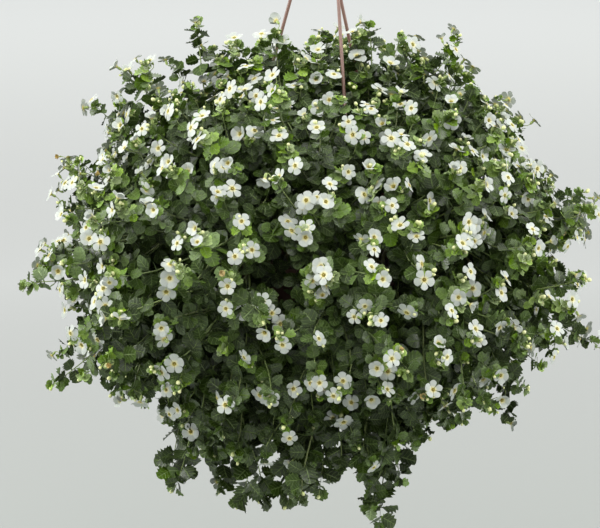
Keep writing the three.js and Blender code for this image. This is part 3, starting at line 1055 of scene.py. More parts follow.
@dataclass(frozen=True)
class Tier:
    """A ring of sprays, with the seeds and places of the CAD source.

    Attributes:
        elevation: Of the middle of its sprays, in degrees above the bush's centre.
        wander: The most that one spray departs from it.
        way: The stems' way from the soil, as (radius, z).
        forks: The stretch of the stem, as shares of its length, where side shoots leave it.
        trails: Whether its stems hang below the pot.
    """

    name: str
    count: int
    elevation: float
    wander: float
    way: Ramp
    forks: tuple[float, float] = (0.72, 1.0)
    trails: bool = False


STEM_FOOT = -0.446
TIERS = (
    Tier("crown", 3, 71, 0, ((0.018, STEM_FOOT), (0.019, -0.386), (0.034, -0.335))),
    Tier("shoulder", 9, 44, 2, ((0.038, STEM_FOOT), (0.039, -0.386), (0.080, -0.350))),
    Tier("upper", 12, 17, 5, ((0.056, STEM_FOOT), (0.057, -0.400), (0.095, -0.379))),
    Tier(
        "side", 12, -10, 5,
        ((0.070, STEM_FOOT), (0.071, -0.407), (0.110, -0.391), (0.165, -0.412)),
    ),
    Tier(
        "trailing", 9, -41, 3,
        ((0.082, STEM_FOOT), (0.082, -0.404), (0.098, -0.397), (0.117, -0.403), (0.128, -0.436),
         (0.127, -0.500), (0.124, -0.560)),
        (0.40, 0.78), True,
    ),
)


class SourceDraws:
    """The CAD source's seeded numbers, repeated so that the sprays stand where their solids do."""

    def __init__(self, seed: int = 7) -> None:
        """Starts the row of numbers."""
        self._state = seed

    def between(self, low: float, high: float) -> float:
        """The next number, from a 32-bit generator that adds a fixed step and mixes the bits.

        Args:
            low: The least that it can be.
            high: What it stays below.

        Returns:
            The number.
        """
        mask = 0xFFFFFFFF
        self._state = (self._state + 0x6D2B79F5) & mask
        mixed_bits = (self._state ^ self._state >> 15) * (1 | self._state) & mask
        more = (mixed_bits ^ mixed_bits >> 7) * (61 | mixed_bits) & mask
        mixed_bits = (mixed_bits + more & mask) ^ mixed_bits
        return low + (high - low) * (mixed_bits ^ mixed_bits >> 14) / 2**32


@dataclass(frozen=True)
class Spray:
    """One spray: its share of the ball and its stem.

    Attributes:
        name: The frame's name for it.
        azimuth: Of its middle, in radians.
        direction: From the bush's centre to its middle.
        stem: 25 samples of its stem, from the soil outwards.
    """

    name: str
    tier: Tier
    azimuth: float
    direction: Array
    stem: Array


def plan_sprays(bush: Bush) -> list[Spray]:
    """Places the sprays and their stems as the CAD source does, with the same seeded numbers.

    Args:
        bush: The ball that they share out.

    Returns:
        The sprays in the frame's order.
    """
    draws = SourceDraws()
    sites = []
    for tier in TIERS:
        for i in range(tier.count):
            elevation = math.radians(tier.elevation + draws.between(-tier.wander, tier.wander))
            azimuth = STRAND_AZIMUTH + (i + 0.5) * 2 * math.pi / tier.count
            azimuth += 0.7 * math.radians(draws.between(-tier.wander, tier.wander))
            direction = around(math.cos(elevation), azimuth, math.sin(elevation))
            sites.append((tier, i, azimuth, direction))
    sprays = []
    for tier, i, azimuth, direction in sites:
        way = [around(radius, azimuth, z) for radius, z in tier.way]
        if tier.trails:
            radius = draws.between(0.088, 0.118)
            way.append(around(radius, azimuth, draws.between(-0.656, -0.622)))
        else:
            way.append(np.array(bush.centre) + 0.62 * bush.reach(direction[None])[0] * direction)
        stem = smooth_path(np.array(way), 6)
        stem = stem[np.linspace(0, len(stem) - 1, 25).round().astype(int)]
        sprays.append(Spray(f"spray_{tier.name}_{i + 1}", tier, azimuth, direction, stem))
    return sprays


# Leaves and flowers


@dataclass(frozen=True)
class LeafBlade:
    """A bacopa leaf: a short stalk and a broad round-based blade with blunt teeth.

    Attributes:
        rows: Points along it.
        columns: Points across it; two leave out the midrib, for leaves too small to show it.
        teeth: Whether its edge steps out and in, row by row.
        stalk: The stalk's share of the length.
        bite: How far the edge steps, as a share of the half width.
        shift: How far the teeth point forward and rise, as a share of the length or the width.
    """

    rows: int
    columns: int = 3
    teeth: bool = True
    stalk: float = 0.16
    bite: float = 0.16
    shift: float = 0.03

    def grids(
        self,
        roots: Array,
        along: Array,
        face: Array,
        length: Array,
        width: Array,
        fold: Array,
        droop: Array,
    ) -> Array:
        """Blades on grids from the left edge to the right one.

        The half width follows a rounded superellipse whose middle lies a little before the blade's.
        Teeth push every other row out and forward. The halves rise from the midrib by the fold,
        and the blade sinks towards its tip with the square of the way along it.

        Args:
            roots: Where the stalks leave the stem, shape (count, 3).
            along: Unit directions of the blades.
            face: Unit normals of their upper sides, square to along.
            length: Of stalk and blade together.
            width: Of the blades.
            fold: Rise of the edge as a share of the half width.
            droop: Fall of the tip as a share of the length.

        Returns:
            Points of shape (count, rows, columns, 3).
        """
        way = np.concatenate([[0.0], np.linspace(self.stalk, 1, self.rows - 1)])
        blade = np.clip((way - self.stalk) / (1 - self.stalk), 0, 1)
        half = np.sqrt(1 - np.abs((np.clip(blade, 0.02, 0.985) - 0.46) / 0.54) ** 2.3)
        half[:2] = 0.07, 0.12
        step = np.zeros(self.rows)
        if self.teeth:
            step[3::2] = 1.0
            step[2:-1:2] = -1.0
        half = half * (1 + self.bite * step)
        ahead = way + self.shift * step
        column = np.linspace(-1, 1, self.columns)
        length, width, fold, droop = (
            values[:, None, None] for values in (length, width, fold, droop)
        )
        x = 0.5 * width * half[:, None] * column
        y = length * np.where(column == 0, way[:, None], ahead[:, None])
        lift = fold * np.abs(x) + self.shift * width * (step[:, None] * column**2)
        z = lift - droop * length * way[:, None] ** 2
        side = np.cross(along, face)
        place = x[..., None] * side[:, None, None, :] + y[..., None] * along[:, None, None, :]
        return roots[:, None, None, :] + place + z[..., None] * face[:, None, None, :]


@dataclass(frozen=True)
class Flower:
    """A bacopa flower: five rounded lobes round a golden throat, on a short tube and calyx.

    The turned parts are rows of (radius, height towards where the part's outside looks) in mm.

    Attributes:
        radius: From its middle to the end of a lobe.
        lobe_start: From its middle to the foot of a lobe.
        lobe_width: Across a lobe.
        throat: From the feet of the lobes down into the throat.
        anthers: From the top of the small dome of anthers down into the throat.
        calyx: From the stalk up the calyx and the tube to the back of the lobes.
        bud: A closed bud, from its foot to its tip.
    """

    radius: float = 10.6 * MM
    lobe_start: float = 1.9 * MM
    lobe_width: float = 9.2 * MM
    throat: Ramp = ((2.5, -0.35), (1.9, 0.4), (1.0, 1.3), (0.0, 1.6))
    anthers: Ramp = ((0.0, -0.6), (0.65, 0.0), (0.7, 1.2))
    calyx: Ramp = ((0.35, -7.2), (1.5, -6.0), (1.75, -3.4), (1.35, -2.4), (1.7, 0.1))
    bud: Ramp = ((0.0, -2.5), (1.6, -1.5), (2.1, 0.2), (1.4, 1.9), (0.0, 2.4))

    def lobes(
        self, centre: Array, face: Array, roll: Array, size: Array, cup: Array, broad: Array
    ) -> Array:
        """The five lobes of each flower on grids of four rows and four columns.

        A lobe is narrow at the throat, widest at two thirds and rounded at its end, where the
        length falls off with the square of the way aside. It lifts from the flower's plane by the
        cup angle, less so towards its end, and one edge of it lies over its neighbour.

        Args:
            centre: Flower centres, shape (count, 3).
            face: Unit directions that the flowers look in.
            roll: Turn of the first lobe about the face direction, in radians.
            size: Against an ordinary flower.
            cup: The lobes' lift in radians, shape (count, 5).
            broad: The lobes' width against an ordinary lobe, shape (count, 5).

        Returns:
            Points of shape (count * 5, 4, 4, 3).
        """
        first, second = square_axes(face)
        out = swung(roll[:, None] + full_turn(5), first[:, None], second[:, None])
        aside = np.cross(out, face[:, None])
        way = np.array([0.0, 0.38, 0.74, 1.0])[:, None]
        half = np.array([0.30, 0.78, 1.0, 0.72])[:, None]
        column = np.array([-1.0, -0.36, 0.36, 1.0])
        length = (self.radius - self.lobe_start) * (way - 0.14 * column**2 * way**2)
        x = 0.5 * self.lobe_width * half * column * broad[..., None, None]
        lift = np.sin(cup)[..., None, None] * length * (1.15 - 0.3 * way)
        edge = 0.45 * MM * column * way - 0.5 * MM * way**2 * column**2
        radial = self.lobe_start + np.cos(cup)[..., None, None] * length
        size = size[:, None, None, None, None]
        grid = radial[..., None] * out[:, :, None, None, :]
        grid = grid + x[..., None] * aside[:, :, None, None, :]
        grid = grid + (lift + edge)[..., None] * face[:, None, None, None, :]
        grid = centre[:, None, None, None, :] + size * grid
        return grid.reshape(-1, 4, 4, 3)

    def rings(self, centre: Array, face: Array, size: Array, profile: Ramp, sides: int) -> Array:
        """Turned shapes about the directions that flowers or buds look in.

        Args:
            centre: Their centres, shape (count, 3).
            face: Unit directions that they look in.
            size: Against an ordinary one.
            profile: Rows of (radius, height along the face direction) in mm.
            sides: Points in a ring.

        Returns:
            Points of shape (count, rows, sides, 3).
        """
        first, second = square_axes(face)
        ring = swung(full_turn(sides), first[:, None], second[:, None])
        radius, height = (np.array(profile) * MM).T[..., None, None]
        grid = radius * ring[:, None] + height * face[:, None, None]
        return centre[:, None, None] + size[:, None, None, None] * grid


# The plant


@dataclass(frozen=True)
class Shoots:
    """Side shoots as Bezier curves, with the spray that each belongs to.

    Attributes:
        corners: The four control points of each.
        spray: Its spray's number.
        stride: How far apart its leaf pairs are, against an ordinary shoot.
        vigour: The size of its leaves, against an ordinary shoot.
        blooms: How readily it flowers, from 0 to about 1.
        aged: How much older its leaves are, on the scale that the finishes read. Its first pairs
            are those that an ordinary shoot has further down, and over 0.5 its blades are plain.
    """

    corners: tuple[Array, ...]
    spray: Array
    stride: Array
    vigour: Array
    blooms: Array
    aged: Array

    def length(self) -> Array:
        """Arc lengths, measured on 12 samples."""
        points, _ = bezier(self.corners, np.linspace(0, 1, 12))
        return np.linalg.norm(np.diff(points, axis=1), axis=-1).sum(axis=1)

    def nodes(self, distance: Array) -> tuple[Array, Array, Array]:
        """The places where leaves, buds and flowers leave the shoots.

        Args:
            distance: How far back from each shoot's tip, shape (count, places).

        Returns:
            Points, unit tangents, and whether the place is on the shoot, clear of its start.
        """
        share = 1 - distance / self.length()[:, None]
        points, tangents = bezier(self.corners, np.clip(share, 0, 1))
        return points, tangents, share > 0.14

    def owners(self, kept: Array) -> Array:
        """The spray of each place that is kept, for a mask of shape (count, places)."""
        return np.broadcast_to(self.spray[:, None], kept.shape)[kept]


@dataclass
class Bacopa:
    """The whole plant: stems, shoots, leaves, buds and blossoms.

    Attributes:
        layers: The shoots' ends as (count, least depth, greatest depth), as shares of the ball's
            reach. The first layer is the surface, and the others are old shoots without flowers.
        wander: How far the ends stray from their even spread.
        old: How much older the leaves of old shoots are; their darker green deep inside is partly
        painted shade.
        age_step: How many pairs further down a shoot starts for each 1 that it is older.
        toothed_pairs: The number of the last pair whose leaves have teeth.
        blade_lengths: The lengths from which a leaf shows its midrib, and from which more teeth.
        lowest: The lowest direction of a shoot's end from the centre, as its upright part.
        clumps: How far each of three waves raises and lowers the surface.
        largest: The greatest length of a leaf.
        room: The least distance between two flowers.
        pair_gaps: The way to each leaf pair from the one before, in mm from the tip on.
        pair_lengths: The length of each pair's leaves in mm.
        rise: How far a shoot's end turns up, by its elevation from the centre in degrees.
        flowering: How readily a shoot flowers, by its elevation.
        ripening_and_painted_shade: How much older a shoot's leaves are, by its elevation. The darker
            green that
        this gives low down and a little at the crown is partly painted shade.
        leaning: How far a leaf leans out from the stem in degrees, by its pair.
        ageing: A leaf's age, by its pair.
        stemward: How far a leaf's upper side follows the stem, by the stem's upright part.
        straying: How far it strays at random, by the same.
        hanging_floor: How low shoots hang that aren't among the seen tips, by their x.
        hanging_tips: Tips below the pot, measured in the photograph.
        sprigs: Tips that stand out of the ball, measured there too.
        taper: The radius of a side shoot along its length, in mm.
        bloom_places: How far back from a shoot's tip flowers leave it, in mm.
        bloom_chances: The chance of a flower at each of those places.
        bud_chances: The chance of each bud that a shoot can have.
        half_open: The share of flowers that are half open.
        withered: The share of flowers that are withered.
        strand_gap: How far flowers stay from the hanger's strands.
    """

    bush: Bush = field(default_factory=Bush)
    layers: tuple[tuple[int, float, float], ...] = (
        (800, 0.01, 0.18), (520, 0.2, 0.42), (150, 0.42, 0.5)
    )
    seed: int = 48
    wander: float = 0.035
    old: float = 0.6
    age_step: float = 6.0
    toothed_pairs: int = 9
    blade_lengths: tuple[float, float] = (8.5 * MM, 13 * MM)
    lowest: float = -0.84
    clumps: float = 0.028
    largest: float = 20.0 * MM
    room: float = 13.5 * MM
    pair_gaps: tuple[float, ...] = (1, 1, 1.2, 1.5, 2, 2.7, 3.6, 4.8, 6.2, 7.6, 9, 10, 11, 12)
    pair_lengths: tuple[float, ...] = (
        3.8, 5.2, 6.8, 8.4, 9.8, 11, 12.2, 13.4, 14.4, 15.3, 16.2, 17, 17, 17
    )
    rise: Ramp = ((-60, -0.9), (-30, -0.25), (5, 0.3), (45, 0.3), (90, 0.0))
    flowering: Ramp = ((-60, 0.03), (-35, 0.08), (-10, 0.72), (20, 1.2), (50, 0.66), (90, 0.45))
    ripening_and_painted_shade: Ramp = ((-60, 0.48), (-30, 0.35), (0, 0.0), (35, 0.0), (70, 0.12))
    leaning: Ramp = ((0, 30), (3, 50), (6, 66), (9, 78))
    ageing: Ramp = ((0, 0.0), (3, 0.16), (5, 0.38), (7, 0.62), (9, 0.82), (12, 1.0))
    stemward: Ramp = ((-1.0, 0.15), (-0.2, 0.6), (0.5, 0.85))
    straying: Ramp = ((-1.0, 0.55), (-0.2, 0.95))
    hanging_floor: Ramp = (
        (-0.16, -0.58), (-0.14, -0.63), (0.06, -0.625), (0.10, -0.565), (0.16, -0.53)
    )
    hanging_tips: tuple[Point, ...] = (
        (-0.152, -0.030, -0.632), (-0.146, -0.060, -0.640), (-0.101, -0.062, -0.640),
        (-0.080, -0.098, -0.646), (-0.060, -0.070, -0.652), (-0.034, -0.108, -0.642),
        (-0.004, -0.120, -0.628), (0.022, -0.100, -0.598), (0.056, -0.084, -0.670),
        (0.046, -0.100, -0.652), (0.076, -0.066, -0.632), (0.090, -0.070, -0.590),
    )
    sprigs: tuple[Point, ...] = (
        (-0.298, -0.030, -0.440), (-0.286, 0.040, -0.432), (-0.270, -0.040, -0.540),
        (-0.262, -0.030, -0.512), (-0.126, 0.020, -0.182), (-0.110, -0.030, -0.206),
        (0.004, 0.010, -0.194), (0.134, 0.030, -0.198), (0.262, 0.020, -0.354),
        (0.272, -0.040, -0.498), (-0.256, 0.010, -0.322), (-0.226, -0.020, -0.262),
        (-0.204, 0.000, -0.264), (-0.198, 0.030, -0.236), (-0.174, -0.030, -0.222),
        (-0.150, 0.010, -0.222), (0.122, -0.040, -0.204), (0.036, 0.075, -0.202),
        (0.044, 0.010, -0.184), (-0.047, -0.040, -0.190), (0.268, -0.030, -0.364),
        (0.188, 0.010, -0.584), (0.252, -0.030, -0.490), (0.256, 0.020, -0.482),
        (0.258, -0.020, -0.438), (-0.272, 0.010, -0.410), (0.082, 0.000, -0.206),
        (-0.090, -0.010, -0.202),
    )
    taper: tuple[float, ...] = (1.0, 1.0, 0.95, 0.9, 0.8, 0.7, 0.6, 0.0)
    bloom_places: tuple[float, ...] = (4.0, 9.0, 15.0)
    bloom_chances: tuple[float, ...] = (0.74, 0.63, 0.46)
    bud_chances: tuple[float, ...] = (0.8, 0.6, 0.4, 0.2, 0.1)
    half_open: float = 0.2
    withered: float = 0.02
    strand_gap: float = 12 * MM

    def __post_init__(self) -> None:
        """Plans the sprays and starts the seeded numbers."""
        self.draws = np.random.default_rng(self.seed)
        self.sprays = plan_sprays(self.bush)
        self.centre = np.array(self.bush.centre)

    def near_strand(self, points: Array) -> Array:
        """The distance from the nearest hanger strand, which is a straight line from top to foot.

        Args:
            points: Places, shape (..., 3).

        Returns:
            The distances, in the shape of the points without their last axis.
        """
        gaps = []
        for strand in STRANDS:
            line = strand.foot - strand.top
            share = np.clip((points - strand.top) @ line / (line @ line), 0, 1)[..., None]
            gaps.append(np.linalg.norm(points - strand.top - share * line, axis=-1))
        return np.min(gaps, axis=0)

    def on_stem(self, spray: Array, share: Array) -> Array:
        """Points on stems, on straight lines between the stems' samples.

        Args:
            spray: The numbers of the sprays.
            share: The way along each stem, from 0 to 1.

        Returns:
            The points, shape (count, 3).
        """
        stems = np.array([s.stem for s in self.sprays])
        place = share * (stems.shape[1] - 1)
        low = np.minimum(place.astype(int), stems.shape[1] - 2)
        rest = (place - low)[:, None]
        return stems[spray, low] * (1 - rest) + stems[spray, low + 1] * rest

    def plan_shoots(self) -> Shoots:
        """Plans side shoots to points all over the ball, to the sprigs and to the hanging tips.

        A shoot leaves the stem of the spray that its end lies in, and arrives along the ball's
        normal, turned up or down by its elevation and a little at random.

        Returns:
            The shoots, those that hang last.
        """
        draws = self.draws
        tips, inner = self.plan_tips()
        directions = unit(tips - self.centre)
        sites = np.array([s.direction for s in self.sprays])
        spray = np.argmax(directions @ sites.T, axis=1)
        low, high = np.array([s.tier.forks for s in self.sprays])[spray].T
        start = self.on_stem(spray, low + (high - low) * draws.random(len(spray)))
        elevation = np.degrees(np.arcsin(directions[:, 2]))
        lift = ramp(elevation, self.rise)[:, None] * UP
        heading = self.bush.outward(tips) + lift + draws.normal(0, 0.36, tips.shape)
        side = self.join(start, tips, unit(heading))
        hanging, trailing = self.plan_hanging()
        count, extra = len(spray), len(trailing)
        vigour = np.where(inner, 1.25, draws.uniform(0.78, 1.12, count))
        blooms = ramp(elevation, self.flowering) * ~inner
        # The older, darker green of the inner and low shoots is partly painted shade.
        aged = np.where(inner, self.old, ramp(elevation, self.ripening_and_painted_shade))
        # Spray, stride, vigour, blooms and aged, of the ordinary and of the hanging shoots.
        both = (
            (spray, trailing),
            (np.ones(count), np.full(extra, 1.2)),
            (vigour, draws.uniform(1.2, 1.45, extra)),
            (blooms, np.full(extra, 0.12)),
            (aged, np.full(extra, 0.5)),
        )
        corners = tuple(np.concatenate(pair) for pair in zip(side, hanging))
        return Shoots(corners, *(np.concatenate(pair) for pair in both))

    def plan_tips(self) -> tuple[Array, Array]:
        """Plans where the side shoots end.

        The sprigs stand out of the ball. The other ends are spread evenly in three layers, each a
        random depth below the ball's surface, which three seeded waves raise and lower.

        Returns:
            The ends, shape (count, 3), and which of them are those of old shoots.
        """
        draws = self.draws
        tips = [np.array(self.sprigs)]
        waves = 11 * unit(draws.normal(0, 1, (3, 3)))
        starts = draws.uniform(0, 2 * math.pi, 3)
        for count, shallow, deep in self.layers:
            stray = draws.normal(0, self.wander, (count, 3))
            directions = unit(spread_directions(count) + stray)
            directions = directions[directions[:, 2] > self.lowest]
            depth = shallow + (deep - shallow) * draws.random(len(directions)) ** 1.3
            clumps = 1 + self.clumps * np.sin(directions @ waves.T + starts).sum(axis=1)
            reach = self.bush.reach(directions) * (1.0 - depth) * clumps
            tips.append(self.centre + reach[:, None] * directions)
        inner = np.arange(sum(map(len, tips))) >= len(tips[0]) + len(tips[1])
        return np.concatenate(tips), inner

    def plan_hanging(self) -> tuple[tuple[Array, ...], Array]:
        """Plans shoots that hang from the trailing stems.

        Some end at the tips seen in the photograph. Four more a stem end at random places round
        it, but no lower than the picture shows there.

        Returns:
            Their control points and the numbers of their sprays.
        """
        draws = self.draws
        trailing = np.array([i for i, s in enumerate(self.sprays) if s.tier.trails])
        azimuths = np.array([self.sprays[i].azimuth for i in trailing])
        turn = np.tile(azimuths, 4) + draws.uniform(-0.33, 0.33, 4 * len(azimuths))
        radius = draws.uniform(0.075, 0.165, len(turn))
        more = around(radius, turn, draws.uniform(-0.645, -0.570, len(turn)))
        more[:, 2] = np.maximum(more[:, 2], ramp(more[:, 0], self.hanging_floor))
        tips = np.concatenate([np.array(self.hanging_tips), more])
        turn = np.arctan2(tips[:, 1], tips[:, 0])
        apart = np.abs(np.angle(np.exp(1j * (turn[:, None] - azimuths[None]))))
        spray = trailing[np.argmin(apart, axis=1)]
        start = self.on_stem(spray, draws.uniform(0.62, 0.80, len(spray)))
        heading = -UP + 0.25 * around(1.0, turn, 0.0) + draws.normal(0, 0.14, tips.shape)
        return self.join(start, tips, unit(heading)), spray

    def join(self, start: Array, tips: Array, heading: Array) -> tuple[Array, ...]:
        """Shoots that leave roughly towards their tips.

        The two middle control points lie a bit over a third of the straight way from either end.

        Args:
            start: Where they leave the stem, shape (count, 3).
            tips: Where they end.
            heading: The unit directions in which they end.

        Returns:
            The four control points of each.
        """
        span = np.linalg.norm(tips - start, axis=-1, keepdims=True)
        leave = unit(unit(tips - start) + self.draws.normal(0, 0.22, tips.shape))
        return start, start + 0.36 * span * leave, tips - 0.36 * span * heading, tips

    def cross_axes(self, tangents: Array) -> tuple[Array, Array]:
        """Directions square to the tangents, the first from one random direction a shoot.

        Args:
            tangents: Unit tangents, shape (shoots, places, 3).

        Returns:
            Two directions for each that are square to it and to each other.
        """
        helper = unit(self.draws.normal(0, 1, (len(tangents), 1, 3)))
        first = unit(np.cross(tangents, helper))
        return first, np.cross(tangents, first)

    def grow_leaves(self, shoots: Shoots) -> list[Family]:
        """Grows leaf pairs up every shoot, each pair turned a quarter round from the last.

        A leaf leans out from the stem more the older it is. It turns its upper side along the
        stem, as far as that doesn't hang, and to where the plant looks and the light comes from.
        Its age follows from its place on the shoot, and whole shoots are riper than others.

        Args:
            shoots: What they grow on.

        Returns:
            A family for each side and kind of blade.
        """
        draws = self.draws
        count, pairs = len(shoots.spray), len(self.pair_gaps)
        known, shape = np.arange(pairs), (count, pairs)
        stage = known + self.age_step * shoots.aged[:, None]
        gaps = np.interp(stage, known, self.pair_gaps) * MM
        distance = np.cumsum(gaps, axis=1) * shoots.stride[:, None]
        points, tangents, kept = shoots.nodes(distance * draws.uniform(0.9, 1.1, shape))
        first, second = self.cross_axes(tangents)
        own = ramp(tangents[..., 2:], self.stemward)
        stray = ramp(tangents[..., 2:], self.straying)
        wanted = 0.5 * self.bush.looks(points, 0.5) + 0.25 * UP
        families = []
        start = draws.uniform(0, 2 * math.pi, (count, 1))
        ripe = shoots.aged[:, None] + draws.uniform(-0.13, 0.45, (count, 1))
        hidden = (shoots.aged[:, None] > 0.5) | (known > self.toothed_pairs)
        for sign in (1, -1):
            turn = start + known * math.pi / 2 + draws.normal(0, 0.22, shape)
            aside = sign * swung(turn, first, second)
            lean = np.radians(ramp(stage, self.leaning))
            lean = (lean + draws.normal(0, 0.18, shape))[..., None]
            along = np.cos(lean) * tangents + np.sin(lean) * aside
            face = np.sin(lean) * tangents - np.cos(lean) * aside
            face = unit(own * face + wanted + stray * draws.normal(0, 1, face.shape))
            along = unit(along - dot(along, face) * face)
            size = np.interp(stage, known, self.pair_lengths) * MM
            size = size * shoots.vigour[:, None] * draws.uniform(0.82, 1.16, shape)
            size = np.minimum(size, self.largest)
            age = np.clip(ramp(stage, self.ageing) + ripe + draws.normal(0, 0.06, shape), 0, 1)
            clear = self.near_strand(points + 0.6 * size[..., None] * along) > 0.62 * size
            small, large = size < self.blade_lengths[0], size > self.blade_lengths[1]
            kinds = (
                (small & ~hidden, LeafBlade(7, 2)),
                (~small & ~large & ~hidden, LeafBlade(8)),
                (large & ~hidden, LeafBlade(11)),
                (hidden, LeafBlade(6, 2, teeth=False)),
            )
            for chosen, blade in kinds:
                picked = kept & clear & chosen
                number = int(picked.sum())
                grids = blade.grids(
                    points[picked], along[picked], face[picked], size[picked],
                    size[picked] * draws.uniform(0.76, 0.96, number),
                    draws.uniform(-0.05, 0.45, number), draws.uniform(0.02, 0.28, number),
                )
                tone = draws.random(number)
                families.append(
                    Family(grids, Slot.LEAVES, shoots.owners(picked), age[picked], tone)
                )
        return families

    def grow_stems(self, shoots: Shoots) -> list[Family]:
        """Makes the sprays' own stems and the side shoots as thin tapering tubes.

        Args:
            shoots: The side shoots.

        Returns:
            The two families.
        """
        number = np.arange(len(self.sprays))
        ends = np.array([0.84 if s.tier.trails else 1.0 for s in self.sprays])
        shares = ends * np.linspace(0, 1, 25)[:, None]
        stems = np.stack([self.on_stem(number, share) for share in shares], axis=1)
        main = tubes(stems, np.linspace(2.2, 1.0, stems.shape[1]) * MM, 7)
        paths, _ = bezier(shoots.corners, np.linspace(0, 1, len(self.taper)))
        side = tubes(paths, np.array(self.taper) * MM, 3)
        tone = self.draws.random
        old = np.full(len(stems), 0.85)
        green = self.draws.uniform(0.2, 0.7, len(side))
        return [
            Family(main, Slot.STEMS, number, old, tone(len(main)), True),
            Family(side, Slot.STEMS, shoots.spray, green, tone(len(side)), True),
        ]

    def stalks(self, start: Array, leave: Array, end: Array, arrive: Array, radius: float) -> Array:
        """Thin curved stalks from stems to flowers or buds.

        Args:
            start: Where they leave the stem, shape (count, 3).
            leave: The unit directions in which they do.
            end: Where they end.
            arrive: The unit directions in which they do.
            radius: Of every stalk.

        Returns:
            Grids of shape (count, 4, 3, 3) that close on themselves sideways.
        """
        span = np.linalg.norm(end - start, axis=-1, keepdims=True)
        corners = (start, start + 0.4 * span * leave, end - 0.35 * span * arrive, end)
        paths, _ = bezier(corners, np.linspace(0, 1, 4))
        return tubes(paths, np.full(4, radius), 3)

    def grow_blooms(self, shoots: Shoots) -> list[Family]:
        """Grows flowers on stalks from the leaf axils near the tips, looking outwards.

        Of two flowers without room between them the later one is left out. A fifth are half open,
        and a few are withered, which makes them smaller, closed and tan.

        Args:
            shoots: What they grow on.

        Returns:
            Families of the lobes, throats, anthers, calyces and stalks.
        """
        draws, flower = self.draws, Flower()
        count, places = shape = len(shoots.spray), len(self.bloom_places)
        distance = np.array(self.bloom_places) * MM * draws.uniform(0.6, 1.3, shape)
        points, tangents, kept = shoots.nodes(distance)
        first, second = self.cross_axes(tangents)
        turn = draws.uniform(0, 2 * math.pi, (count, 1)) + np.arange(places) * 2.2
        aside = swung(turn, first, second)
        chance = np.array(self.bloom_chances) * shoots.blooms[:, None]
        leave = unit(tangents + 0.8 * aside)
        lift = draws.uniform(9, 16, (*shape, 1)) * MM
        outward = unit(0.8 * tangents + 0.9 * aside + 0.4 * self.bush.looks(points, 0.5))
        centre = points + lift * outward
        kept &= draws.random(shape) < chance
        kept &= self.near_strand(centre) > self.strand_gap
        crowded = np.linalg.norm(centre[kept][:, None] - centre[kept], axis=-1) < self.room
        kept[kept] = ~np.triu(crowded, 1).any(axis=0)
        centre, leave, points = centre[kept], leave[kept], points[kept]
        high = np.clip(unit(centre - self.centre)[:, 2:], 0, 1)
        stray = 0.45 + 0.2 * high
        face = unit(
            self.bush.looks(centre, 0.3) + 0.3 * aside[kept] + 0.25 * tangents[kept]
            + (0.1 + 0.4 * high) * UP + stray * draws.normal(0, 1, centre.shape)
        )
        number, spray = len(centre), shoots.owners(kept)
        size = draws.uniform(0.72, 0.96, number)
        half_open = draws.random(number) < self.half_open
        closing, open_cup = draws.uniform(0.5, 1.1, number), draws.uniform(-0.25, 0.45, number)
        cup = np.where(half_open, closing, open_cup)
        withered = draws.random(number) < self.withered
        spent = np.where(withered, draws.uniform(0.8, 1.0, number), 0.0)
        cup = np.where(withered, 1.35, cup)[:, None] + draws.normal(0, 0.17, (number, 5))
        size = np.where(withered, 0.6, 1.0) * size
        tone = draws.random(number)
        roll = draws.uniform(0, 2 * math.pi, number)
        lobes = flower.lobes(centre, face, roll, size, cup, draws.uniform(0.8, 1.1, (number, 5)))
        five = (np.repeat(values, 5) for values in (spray, spent, tone))
        families = [Family(lobes, Slot.PETALS, *five)]
        rings = (
            (-face, flower.throat, 6, Slot.CENTRES, spent),
            (-face, flower.anthers, 4, Slot.CENTRES, spent),
            (face, flower.calyx, 5, Slot.STEMS, np.full(number, 0.1)),
        )
        for outside, profile, sides, slot, age in rings:
            grids = flower.rings(centre, outside, size, profile, sides)
            families.append(Family(grids, slot, spray, age, tone, True))
        foot = centre - (6.8 * MM * size)[:, None] * face
        stalks = self.stalks(points, leave, foot, face, 0.45 * MM)
        families.append(Family(stalks, Slot.STEMS, spray, np.full(number, 0.15), tone, True))
        return families

    def grow_buds(self, shoots: Shoots) -> list[Family]:
        """Grows round closed buds on short stalks among the youngest leaves.

        Args:
            shoots: What they grow on.

        Returns:
            The buds and their stalks.
        """
        draws, flower = self.draws, Flower()
        chance = np.array(self.bud_chances) * np.sqrt(shoots.blooms)[:, None]
        points, tangents, kept = shoots.nodes(draws.uniform(0.5, 9, chance.shape) * MM)
        first, second = self.cross_axes(tangents)
        aside = swung(draws.uniform(0, 2 * math.pi, chance.shape), first, second)
        kept &= draws.random(chance.shape) < chance
        heading = unit(tangents + 0.8 * aside + 0.3 * self.bush.outward(points))[kept]
        points, tangents, spray = points[kept], tangents[kept], shoots.owners(kept)
        number = len(points)
        middle = points + draws.uniform(4.5, 8.5, (number, 1)) * MM * heading
        size, tone = draws.uniform(0.6, 1.1, number), draws.random(number)
        buds = flower.rings(middle, heading, size, flower.bud, 6)
        leave, foot = unit(tangents + heading), middle - 1.8 * MM * heading
        stalks = self.stalks(points, leave, foot, heading, 0.4 * MM)
        return [
            Family(buds, Slot.BUDS, spray, np.zeros(number), tone, True),
            Family(stalks, Slot.STEMS, spray, np.full(number, 0.1), tone, True),
        ]

